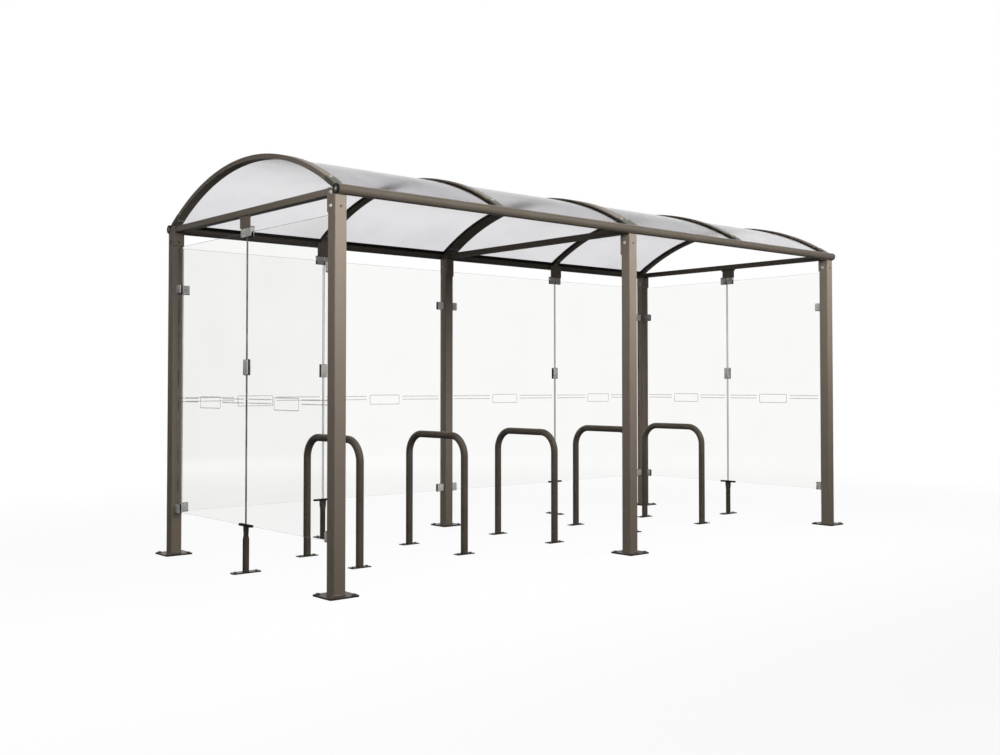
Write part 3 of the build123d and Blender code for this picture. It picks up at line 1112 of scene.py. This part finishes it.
@dataclass
class FrameDressing:
    """Finishes of the solid pieces that stay as they are."""

    looks: dict[str, Finish] = field(default_factory=lambda: {
        "post_": Finish.FRAME,
        "eave_tube_": Finish.TUBE,
        "tie_": Finish.FRAME,
        "roof_bar_": Finish.FRAME,
        "roof_sheet_": Finish.SHEET,
        "roof_edge_": Finish.TRIM,
        "glass_hangers": Finish.FRAME,
        "glass_foot_": Finish.STAND,
        "glass_saddles": Finish.RUBBER,
        "glass_clamps_": Finish.CLAMP,
        "glass_": Finish.GLASS,
        "bike_hoop_": Finish.HOOP,
        "eave_end_": Finish.PLASTIC,
    })

    def build(self) -> None:
        """Give every solid node its finish."""
        for name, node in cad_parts.items():
            start = next(start for start in self.looks if name.startswith(start))
            look = self.looks[start]
            node.data.materials.clear()
            node.data.materials.append(finish(look))
            LOG.info("%s wears %s", name, look.value.name)


@dataclass
class PostFittings:
    """Nuts, bolts, plugs and welds of the six posts."""

    site: Site
    half: float = 0.040
    corner: float = 0.006
    plate_rise: float = 0.010
    anchor_spacing: float = 0.150
    low_drop: float = 0.110
    high_drop: float = 0.030
    toward_inside: float = 0.008
    plug_drop: float = 0.112
    head_plate: float = 0.008
    slot_stretch: tuple[float, ...] = (0.42, 2.2, 1.0, 1.0)
    weld_step: float = 0.0026

    def build(self) -> None:
        """Build the four kinds of fittings."""
        self.anchors()
        self.head_bolts()
        self.plugs()
        self.welds()

    def anchors(self) -> None:
        """Set a nut on each ground anchor, no two of a post turned alike."""
        half = self.anchor_spacing / 2
        spots = [Matrix.Translation((post.x + a * half, post.y + b * half, self.plate_rise))
                 @ Matrix.Rotation(radians(17 * index + 40 * a + 15 * b), 4, "Z")
                 for index, post in enumerate(self.site.posts) for a in (-1, 1) for b in (-1, 1)]
        Shape().stamp(AnchorNut().shape(), spots).piece("post_anchor_nuts", Finish.ZINC)

    def head_bolts(self) -> None:
        """Set the domed bolts on the flanks of each post head."""
        spots = []
        for post in self.site.posts:
            y = post.y - post.side.value * self.toward_inside
            drops = (self.low_drop, self.high_drop) if post.end else (self.low_drop,)
            ways = (-1, 1)
            if post.end and post.side is Side.REAR:
                drops, ways = (self.low_drop,), (-post.end,)
            for drop in drops:
                for way in ways:
                    spot = Vector((post.x + way * self.half, y, post.top - drop))
                    spots.append(facing(spot, Vector((way, 0, 0))))
        Shape().stamp(DomeBolt().shape(), spots).piece("post_head_bolts", Finish.BOLT)

    def plugs(self) -> None:
        """Set two plugs in each post head, and a level slot's plug in the rear corner posts."""
        spots, slots = [], []
        for post in self.site.posts:
            height = post.top - self.plug_drop
            for way, reach in ((1, self.half), (-1, self.half + self.head_plate)):
                out = Vector((0, way * post.side.value, 0))
                spots.append(facing(Vector((post.x, post.y, height)) + reach * out, out))
            if post.end and post.side is Side.REAR:
                spot = Vector((post.x + post.end * self.half, post.y, height))
                slots.append(facing(spot, Vector((post.end, 0, 0)))
                             @ Matrix.Diagonal(self.slot_stretch))
        Shape().stamp(HolePlug().shape(), [*spots, *slots]).piece("post_hole_plugs", Finish.PLUG)

    def welds(self) -> None:
        """Lay a weld round the foot of each post."""
        made, width = Shape(), 2 * self.half
        path = spaced(round_path(width, width, self.corner), self.weld_step)
        for post in self.site.posts:
            place = Matrix.Translation((post.x, post.y, self.plate_rise))
            made.stamp(WeldBead().follow(path, place))
        made.piece("post_foot_welds", Finish.FRAME)


@dataclass
class RoofFittings:
    """Rubber seals, shoes and screws of the roof bars, and the bolts of the ties."""

    site: Site
    seal_low: float = 1.9858
    seal_high: float = 1.9925
    seal_rise: float = 0.0030
    under_low: float = 1.9765
    under_high: float = 1.9804
    under_rise: float = 0.0020
    seal_steps: int = 72
    seal_short: float = 0.004
    seal_profile: tuple[Pair, ...] = (
        (-1.0, -0.2), (-1.0, 0.35), (-0.8, 0.8), (-0.35, 1.0), (0.35, 1.0), (0.8, 0.8),
        (1.0, 0.35), (1.0, -0.2))
    shoe_start: float = 0.984
    shoe_end: float = 1.078
    shoe_steps: int = 8
    shoe_skin: float = 0.0014
    shoe_soft: float = 0.0012
    shoe_rise: float = 0.001
    bolt_y: float = 0.997
    foot_bolt_spacing: float = 0.024
    tie_bolt_y: float = 0.877
    cover_screw: DomeBolt = DomeBolt(0.0090, 0.0052, 0.0028, 0.003, 0.0108, 0.001)
    tie_bolt: DomeBolt = DomeBolt(0.0080, 0.0048, 0.0026, 0.0026, 0.0098, 0.001)
    foot_bolt: DomeBolt = DomeBolt(0.0074, 0.0044, 0.0024, 0.0024, 0.0090, 0.001)

    def build(self) -> None:
        """Build the seals, the shoes and the bolts."""
        self.seals()
        self.shoes()
        self.bolts()

    def seal(self, x: float, side: int, low: float, high: float, rise: float) -> Shape:
        """Build one seal strip along a bar.

        Args:
            x: The bar's face that the strip lies on.
            side: Which way the face looks along X.
            low: Inner radius of the strip.
            high: Outer radius of the strip.
            rise: How far it stands off the face.

        Returns:
            The strip.
        """
        rows, centre = [], self.site.roof.centre
        end = asin((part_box("roof_sheet_1")[1].y - self.seal_short) / high)
        middle, half = (low + high) / 2, (high - low) / 2
        for step in range(self.seal_steps + 1):
            angle = end * (2 * step / self.seal_steps - 1)
            rows.append([
                Vector((x + side * rise * out, (middle + half * across) * sin(angle),
                        centre + (middle + half * across) * cos(angle)))
                for across, out in self.seal_profile])
        return Shape().skin(rows)

    def seals(self) -> None:
        """Lay the seals over and under every sheet edge."""
        made, half = Shape(), self.site.roof.bar_width / 2
        for x, sides in self.site.bars:
            for side in sides:
                for low, high, rise in ((self.seal_low, self.seal_high, self.seal_rise),
                                        (self.under_low, self.under_high, self.under_rise)):
                    made.stamp(self.seal(x + side * half, side, low, high, rise))
        made.piece("roof_bar_seals", Finish.SEAL)

    def shoes(self) -> None:
        """Fold a thin shoe over the last stretch of each bar, down to the eave tube."""
        made, roof, section = Shape(), self.site.roof, self.shoe_section()
        reach = self.shoe_end - self.shoe_start
        for x, _ in self.site.bars:
            for side in Side:
                places = [side.value * (self.shoe_start + reach * step / self.shoe_steps)
                          for step in range(self.shoe_steps + 1)]
                made.skin([[roof.at(x, y, radius) @ Vector((across, 0, 0))
                            for across, radius in section] for y in places])
        made.piece("roof_bar_shoes", Finish.SHOE)

    def shoe_section(self) -> list[Pair]:
        """Return a shoe's section, as places across the bar and radii of the roof's arc."""
        half, top = self.site.roof.bar_width / 2, self.site.roof.outer
        low, soft, skin = self.site.roof.inner + self.shoe_rise, self.shoe_soft, self.shoe_skin
        wide = half + skin
        return [(-wide, low), (-wide, top + skin - soft), (-wide + soft, top + skin),
                (wide - soft, top + skin), (wide, top + skin - soft), (wide, low),
                (half, low), (half, top), (-half, top), (-half, low)]

    def bolts(self) -> None:
        """Set a screw on each bar's foot, a bolt on each tie's end and two under each foot."""
        roof, half, ends = self.site.roof, self.foot_bolt_spacing / 2, []
        feet = [(x, side.value * self.bolt_y) for x, _ in self.site.bars for side in Side]
        for name in sorted(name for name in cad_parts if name.startswith("tie_")):
            low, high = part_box(name)
            ends += [Matrix.Translation(
                ((low.x + high.x) / 2, side.value * self.tie_bolt_y, high.z)) for side in Side]
        for name, bolt, places in (
            ("roof_cover_screws", self.cover_screw,
             [roof.at(x, y, roof.outer + self.shoe_skin) for x, y in feet]),
            ("roof_tie_bolts", self.tie_bolt, ends),
            ("roof_foot_bolts", self.foot_bolt,
             [roof.at(x + way * half, y, roof.inner, inward=True)
              for x, y in feet for way in (-1, 1)]),
        ):
            Shape().stamp(bolt.shape(), places).piece(name, Finish.BOLT)


@dataclass
class EaveEnds:
    """Round end caps of the two eave tubes: a black rim, a grey disc and a screw."""

    radius: float = 0.031
    rim_inner: float = 0.0225
    dish: float = 0.0022
    thickness: float = 0.010
    soft: float = 0.0016
    disc_soft: float = 0.0008
    sink_radius: float = 0.009
    sink: float = 0.0006
    segments: int = 48
    screw: FlushScrew = FlushScrew(0.0082, 0.0022, 0.0028)

    def places(self) -> list[Matrix]:
        """Return the four tube ends, looking out along X."""
        spots = []
        for row in ("front", "rear"):
            low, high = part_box(f"eave_tube_{row}")
            middle = (low + high) / 2
            for x, way in ((low.x, -1), (high.x, 1)):
                spots.append(facing(Vector((x, middle.y, middle.z)), Vector((way, 0, 0))))
        return spots

    def build(self) -> None:
        """Build the rims, discs and screws."""
        thick, soft, face, hole = (
            self.thickness, self.soft, self.thickness - self.dish, self.rim_inner)
        rim = Shape().turn([
            Ring(hole, 0), Ring(self.radius, 0), Ring(self.radius, thick - soft),
            Ring(self.radius - 0.3 * soft, thick - 0.3 * soft), Ring(self.radius - soft, thick),
            Ring(hole + 0.6 * soft, thick), Ring(hole, thick - 0.6 * soft)],
            segments=self.segments, loop=True)
        disc = Shape().turn([
            Ring(0, 0), Ring(hole, 0), Ring(hole, face - self.disc_soft),
            Ring(hole - self.disc_soft, face), Ring(self.sink_radius, face),
            Ring(self.sink_radius - self.sink, face - self.sink), Ring(0, face - self.sink)],
            segments=self.segments)
        spots, lift = self.places(), Matrix.Translation((0, 0, face - self.sink))
        Shape().stamp(rim, spots).piece("eave_cap_rims", Finish.PLASTIC, ["eave_end_caps"])
        Shape().stamp(disc, spots).piece("eave_cap_discs", Finish.DISC)
        Shape().stamp(self.screw.shape(), [spot @ lift for spot in spots]).piece(
            "eave_cap_screws", Finish.BOLT)


@dataclass(frozen=True)
class Grip:
    """Where one clamp holds the glass, with its pads and its screws on both faces.

    Pads and screws are given along the wall and above the floor, and the reach of the screws
    is measured from the wall's plane.
    """

    place: Matrix
    pad_middle: Pair
    pad_size: Pair
    screws: list[Pair]
    reach: float


@dataclass
class GlassClamps:
    """Steel clamps that hold the panes: by the posts, under the hangers and across the joints.

    The pad and screw sizes of a post's clamp start at the post, and those of a hanger's clamp
    go down from the glass's upper edge. The clips' screws lie inside their plates, out of sight.
    """

    wall: Wall
    post_half: float = 0.040
    length: float = 0.064
    web: float = 0.018
    depth: float = 0.030
    height: float = 0.060
    jaw: float = 0.0085
    low_rise: float = 0.025
    high_drop: float = 0.303
    post_pad: Pair = (0.044, 0.046)
    post_screw: float = 0.036
    hanger_length: float = 0.060
    hanger_gap: float = 0.012
    lip: float = 0.0275
    hanger_pad: Pair = (0.0155, 0.033)
    hanger_screw: float = 0.006
    clip_width: float = 0.056
    clip_height: float = 0.100
    clip_rise: float = 1.025
    clip_slot: float = 0.0052
    clip_play: float = 0.0008
    clip_screws: tuple[float, ...] = (0.028, 0.072)
    clip_screw_along: float = 0.015
    clip_screw_reach: float = 0.012
    joint_gap: float = 0.010
    pad: float = 0.0022
    pad_start: float = 0.0042
    pad_soft: float = 0.0006
    pad_over: float = 0.006
    clip_pad_over: Pair = (0.010, 0.004)
    soft: float = 0.0022

    def post_clamp(self) -> Shape:
        """Return a clamp by a post: a channel open along +X, round the origin."""
        half, end, web = self.depth / 2, self.length, self.web
        slot = half - self.jaw
        return Shape().prism([(0, -half), (end, -half), (end, -slot), (web, -slot), (web, slot),
                              (end, slot), (end, half), (0, half)], self.height, self.soft)

    def hanger_clamp(self) -> Shape:
        """Return a clamp under a hanger: a channel open downward, round the origin."""
        half, top, lip = self.depth / 2, self.height, self.height - self.lip
        slot = half - self.jaw
        profile = [(-half, 0), (-slot, 0), (-slot, lip), (slot, lip), (slot, 0), (half, 0),
                   (half, top), (-half, top)]
        upright = Matrix(((0, 0, 1, -self.hanger_length / 2), (1, 0, 0, 0), (0, 1, 0, 0),
                          (0, 0, 0, 1)))
        return Shape().stamp(Shape().prism(profile, self.hanger_length, self.soft), [upright])

    def clip(self) -> Shape:
        """Return a clip across a joint: two plates and the core between the panes."""
        half, slot, wide = self.depth / 2, self.clip_slot, self.clip_width / 2
        core = self.joint_gap / 2 - self.clip_play
        return Shape().prism(
            [(-wide, -half), (wide, -half), (wide, -slot), (core, -slot), (core, slot),
             (wide, slot), (wide, half), (-wide, half), (-wide, slot), (-core, slot),
             (-core, -slot), (-wide, -slot)], self.clip_height, self.soft)

    def by_posts(self) -> list[Grip]:
        """Return the places of the clamps by the posts."""
        wall, grips = self.wall, []
        (middle, long), tall = self.post_pad, self.height + self.pad_over
        for along, end in wall.posts:
            for way in (1, -1):
                if way == end:
                    continue
                foot = along + way * self.post_half
                for centre in (wall.low + self.low_rise, wall.high - self.high_drop):
                    bottom = centre - self.height / 2
                    level = bottom + self.height / 2
                    grips.append(Grip(
                        wall.at(foot, 0, bottom, way < 0), (foot + way * middle, level),
                        (long, tall), [(foot + way * self.post_screw, level)], self.depth / 2))
        return grips

    def under_hangers(self) -> list[Grip]:
        """Return the places of the clamps under the hangers."""
        wall, (drop, tall) = self.wall, self.hanger_pad
        offset, long = (self.hanger_gap + self.hanger_length) / 2, self.hanger_length
        return [Grip(wall.at(spot, 0, wall.high - self.height / 2), (spot, wall.high - drop),
                     (long + self.pad_over, tall), [(spot, wall.high - self.hanger_screw)],
                     self.depth / 2)
                for spot in (joint + way * offset for joint in wall.joints for way in (-1, 1))]

    def over_joints(self) -> list[Grip]:
        """Return the places of the clips over the joints."""
        wall, (over_long, over_tall) = self.wall, self.clip_pad_over
        level = wall.low + self.clip_rise
        bottom = level - self.clip_height / 2
        return [Grip(wall.at(joint, 0, bottom), (joint, level),
                     (self.clip_width + over_long, self.clip_height + over_tall),
                     [(joint + way * self.clip_screw_along, bottom + lift)
                      for way in (-1, 1) for lift in self.clip_screws], self.clip_screw_reach)
                for joint in wall.joints]

    def build(self) -> None:
        """Build the clamps, their pads and their screws."""
        steel, pads, screws, wall = Shape(), Shape(), Shape(), self.wall
        screw, out = FlushScrew().shape(), self.pad_start + self.pad / 2
        for clamp, grips in ((self.post_clamp(), self.by_posts()),
                             (self.hanger_clamp(), self.under_hangers()),
                             (self.clip(), self.over_joints())):
            steel.stamp(clamp, [grip.place for grip in grips])
            for grip in grips:
                (along, level), (long, tall) = grip.pad_middle, grip.pad_size
                slab = Shape().prism(rectangle(long, self.pad), tall, self.pad_soft, 1)
                pads.stamp(slab, [wall.at(along, way * out, level - tall / 2) for way in (-1, 1)])
                screws.stamp(screw, [wall.at(x, way * grip.reach, z)
                                     @ Matrix.Rotation(-way * pi / 2, 4, "X")
                                     for x, z in grip.screws for way in (-1, 1)])
        name = wall.name
        steel.piece(f"clamp_jaws_{name}", Finish.CLAMP, [f"glass_clamps_{name}"])
        pads.piece(f"clamp_pads_{name}", Finish.RUBBER)
        screws.piece(f"clamp_screws_{name}", Finish.BOLT)


@dataclass
class PaneEdges:
    """Edges of the panes, with a small arris on both faces, in painted shade and painted light."""

    walls: list[Wall]
    glass_half: float = 0.004
    proud: float = 0.00012
    depth: float = 0.0014
    arris: float = 0.0008

    def strips(self, start: float, end: float, low: float, high: float
               ) -> tuple[list[Shape], list[Shape]]:
        """Return the four edge strips of one pane, mitred at the corners.

        Args:
            start: Where the pane starts along the wall.
            end: Where it ends.
            low: Its lower edge.
            high: Its upper edge.

        Returns:
            The two upright strips, and the two level strips.
        """
        out, face = self.proud, self.glass_half + self.proud
        section = [(-out, face - self.arris), (self.arris - out, face), (self.depth, face),
                   (self.depth, -face), (self.arris - out, -face), (-out, self.arris - face)]
        corners = [(start, low, 1, 1), (end, low, -1, 1), (end, high, -1, -1),
                   (start, high, 1, -1)]
        rows = [[Vector((u + along * inset, across, w + up * inset)) for inset, across in section]
                for u, w, along, up in corners]
        sides = [Shape().skin([row, after]) for row, after in zip(rows, [*rows[1:], rows[0]])]
        return sides[1::2], sides[::2]

    def build(self) -> None:
        """Build the edges of every pane."""
        uprights, levels = Shape(), Shape()
        for wall in self.walls:
            for start, end in wall.spans:
                for made, sides in zip((uprights, levels),
                                       self.strips(start, end, wall.low, wall.high)):
                    for side in sides:
                        made.stamp(side, [wall.at(0, 0, 0)])
        # Upright edges take the painted shade, level edges the painted light.
        uprights.piece("glass_upright_edges", Finish.EDGE)
        levels.piece("glass_level_edges", Finish.RIM)


@dataclass
class PaneMarks:
    """Frosted safety strip at chest height on each pane: two lines and an empty box."""

    walls: list[Wall]
    glass_half: float = 0.004
    film: float = 0.0004
    top_line: float = 0.818
    low_line: float = 0.7925
    line_width: float = 0.0065
    line_corner: float = 0.3
    box_length: float = 0.300
    box_height: float = 0.082
    box_rise: float = 0.791
    box_line: float = 0.006
    box_corners: Pair = (0.010, 0.005)
    box_gap: float = 0.030
    edge_gap: float = 0.026

    def strip(self, start: float, end: float) -> Shape:
        """Return one thin line of film from one place along the wall to another."""
        outline = round_path(end - start, self.line_width, self.line_width * self.line_corner, 3)
        middle = (start + end) / 2
        return Shape().skin([[Vector((middle + p.x, out, p.y)) for p in outline]
                             for out in (0.0, self.film)])

    def box(self) -> Shape:
        """Return an empty box of film with rounded corners, round the origin."""
        outer, inner = (
            round_path(self.box_length - inset, self.box_height - inset, corner, 5)
            for inset, corner in zip((0.0, 2 * self.box_line), self.box_corners))
        return Shape().skin([[Vector((p.x, out, p.y)) for p in outline] for outline, out in (
            (outer, 0.0), (outer, self.film), (inner, self.film), (inner, 0.0))], loop=True)

    def build(self) -> None:
        """Build the marks of every pane."""
        made, reach, out = Shape(), self.box_length / 2 + self.box_gap, self.glass_half
        for wall in self.walls:
            for start, end in wall.spans:
                middle = (start + end) / 2
                for first, last in ((start + self.edge_gap, middle - reach),
                                    (middle + reach, end - self.edge_gap)):
                    for rise in (self.top_line, self.low_line):
                        made.stamp(self.strip(first, last), [wall.at(0, out, wall.low + rise)])
                made.stamp(self.box(), [wall.at(middle, out, wall.low + self.box_rise)])
        made.piece("glass_marks", Finish.FILM)


@dataclass
class GlassStands:
    """Nuts and welds of the glass feet, and screws of the hangers."""

    walls: list[Wall]
    base_rise: float = 0.008
    bolt_spacing: float = 0.150
    stem_radius: float = 0.021
    weld: WeldBead = WeldBead(0.0034)
    hanger_spread: float = 0.040
    hanger_reach: float = 0.021
    rear_screws: float = 2.268
    side_screws: float = 2.285

    def build(self) -> None:
        """Build the nuts, the welds and the hanger screws."""
        nuts, welds, screws = Shape(), Shape(), Shape()
        small, screw = SMALL_NUT.shape(), FlushScrew().shape()
        for wall in self.walls:
            for joint in wall.joints:
                welds.stamp(self.weld.ring(self.stem_radius, wall.at(joint, 0, self.base_rise)))
                for way in (-1, 1):
                    nuts.stamp(small, [wall.at(joint, way * self.bolt_spacing / 2, self.base_rise)
                                       @ Matrix.Rotation(0.4 * way + joint, 4, "Z")])
                    screws.stamp(screw, [self.screw_place(wall, joint + way * self.hanger_spread)])
        nuts.piece("glass_foot_nuts", Finish.ZINC)
        welds.piece("glass_foot_welds", Finish.STAND)
        screws.piece("glass_hanger_screws", Finish.FRAME)

    def screw_place(self, wall: Wall, along: float) -> Matrix:
        """Return the place of a screw on the free face of a hanger plate."""
        way, height = (-1, self.rear_screws) if wall.outward.y else (1, self.side_screws)
        return (wall.at(along, way * self.hanger_reach, height)
                @ Matrix.Rotation(-way * pi / 2, 4, "X"))


@dataclass
class HoopFittings:
    """Nuts and welds of the bike hoops' feet."""

    plate_rise: float = 0.006
    bolt_spacing: float = 0.110
    tube_radius: float = 0.026
    plate_half: float = 0.030
    weld: WeldBead = WeldBead(0.0036)

    def build(self) -> None:
        """Build the nuts, each turned another way, and the welds of every hoop."""
        nuts, welds, small = Shape(), Shape(), SMALL_NUT.shape()
        hoops = sorted(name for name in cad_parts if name.startswith("bike_hoop_"))
        for number, name in enumerate(hoops):
            low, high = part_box(name)
            x = (low.x + high.x) / 2
            for y in (low.y + self.plate_half, high.y - self.plate_half):
                for way in (-1, 1):
                    spot = Matrix.Translation(
                        (x + way * self.bolt_spacing / 2, y, self.plate_rise))
                    turn = Matrix.Rotation(number * 0.7 + way + 3 * y, 4, "Z")
                    nuts.stamp(small, [spot @ turn])
                foot = Matrix.Translation((x, y, self.plate_rise))
                welds.stamp(self.weld.ring(self.tube_radius, foot))
        nuts.piece("hoop_foot_nuts", Finish.ZINC)
        welds.piece("hoop_foot_welds", Finish.HOOP)


# ------------------------------------------------------------------ studio


@dataclass(frozen=True)
class Lamp:
    """Soft rectangular lamp, which lights the shelter and is seen nowhere."""

    name: str
    place: Triple
    aim: Triple
    length: float
    width: float
    power: float

    def hang(self) -> None:
        """Hang the lamp and turn it to what it lights."""
        light = bpy.data.lights.new(self.name, "AREA")
        light.shape = "RECTANGLE"
        light.size, light.size_y = self.length, self.width
        light.energy = self.power
        lamp = bpy.data.objects.new(self.name, light)
        place = Vector(self.place)
        lamp.matrix_world = facing(place, place - Vector(self.aim))
        lamp.visible_camera = lamp.visible_transmission = lamp.visible_glossy = False
        bpy.context.scene.collection.objects.link(lamp)


@dataclass(frozen=True)
class BrightPatch:
    """Soft bright patch of the surroundings, which shows only where it is mirrored.

    It lies round a direction, and start and full are cosines of the angle from its middle.
    """

    way: Triple
    start: float
    full: float
    strength: float


@dataclass
class Studio:
    """Pale floor, soft light and white surroundings, which mirror as a dim room."""

    floor_half: float = 90.0
    floor_drop: float = 0.0005
    surround: float = 0.062
    room: float = 0.22
    patches: tuple[BrightPatch, ...] = (
        BrightPatch((0.64, 0.74, 0.20), 0.70, 0.95, 1.0),
        BrightPatch((-0.17, -0.76, 0.63), 0.86, 0.97, 0.85))
    lamps: tuple[Lamp, ...] = (
        Lamp("studio_strip", (-1.6, -2.75, 2.85), (-1.6, 0.0, 1.2), 11.0, 0.9, 236.0),
        Lamp("studio_left", (-22.0, -3.0, 2.4), (0.0, 0.0, 1.6), 4.0, 2.4, 25.0),
        Lamp("studio_back", (-2.0, 10.0, 2.4), (0.0, 0.0, 1.3), 10.0, 2.0, 640.0),
        Lamp("studio_right", (20.0, 2.0, 2.6), (0.0, 0.0, 1.5), 5.0, 2.4, 600.0))

    def build(self) -> None:
        """Build the floor, the surroundings and the lamps."""
        self.floor()
        self.surroundings()
        for lamp in self.lamps:
            lamp.hang()

    def floor(self) -> None:
        """Lay the floor."""
        shape = bmesh.new()
        bmesh.ops.create_grid(shape, x_segments=4, y_segments=4, size=self.floor_half)
        mesh = bpy.data.meshes.new("studio_floor")
        shape.to_mesh(mesh)
        shape.free()
        mesh.materials.append(StudioGround().build())
        floor = bpy.data.objects.new("studio_floor", mesh)
        floor.location.z = -self.floor_drop
        bpy.context.scene.collection.objects.link(floor)

    def surroundings(self) -> None:
        """Make the surroundings white to look at, and a dim room with bright patches to mirror."""
        world = bpy.data.worlds.new("studio_surround")
        world.use_nodes = True
        world.node_tree.nodes.clear()
        graph = Graph(world.node_tree)
        seen, glossy = graph.looks()
        way = graph.add("TexCoord").outputs["Generated"]
        tones = []
        for patch in self.patches:
            near = graph.add("VectorMath", {0: way, 1: patch.way}, operation="DOT_PRODUCT")
            tones.append(graph.span(near.outputs["Value"], patch.start, patch.full, self.room,
                                    patch.strength))
        mirrored = graph.math("MULTIPLY", glossy, graph.math("MAXIMUM", *tones))
        strength = graph.math("MAXIMUM", graph.math("MAXIMUM", seen, mirrored), self.surround)
        white = graph.add("Background", {"Color": (1.0, 1.0, 1.0, 1.0), "Strength": strength})
        graph.add("OutputWorld", {"Surface": white.outputs[0]})
        bpy.context.scene.world = world


@dataclass
class Viewpoint:
    """The camera: standing at the front left, at chest height."""

    place: Triple = (-6.01845, -6.50062, 1.20740)
    heading: float = 0.717620
    rise: float = 0.024867
    lens: float = 39.7922
    shift_up: float = -0.018675
    far: float = 400.0

    def build(self) -> None:
        """Build the camera and look through it."""
        data = bpy.data.cameras.new("viewpoint")
        data.lens, data.shift_y, data.clip_end = self.lens, self.shift_up, self.far
        camera = bpy.data.objects.new("viewpoint", data)
        camera.location = self.place
        camera.rotation_euler = (pi / 2 + self.rise, 0.0, -self.heading)
        bpy.context.scene.collection.objects.link(camera)
        bpy.context.scene.camera = camera


def main() -> None:
    """Dress the shelter, one sub-assembly after another."""
    logging.basicConfig(level=logging.INFO, format="%(name)s: %(message)s")
    bpy.context.scene.view_settings.view_transform = "Standard"
    site = Site()
    pieces = [FrameDressing(), PostFittings(site), RoofFittings(site), EaveEnds(),
              *(GlassClamps(wall) for wall in site.walls), PaneEdges(site.walls),
              PaneMarks(site.walls), GlassStands(site.walls), HoopFittings()]
    for part in [*pieces, Studio(), Viewpoint()]:
        part.build()


if __name__ == "__main__":
    main()
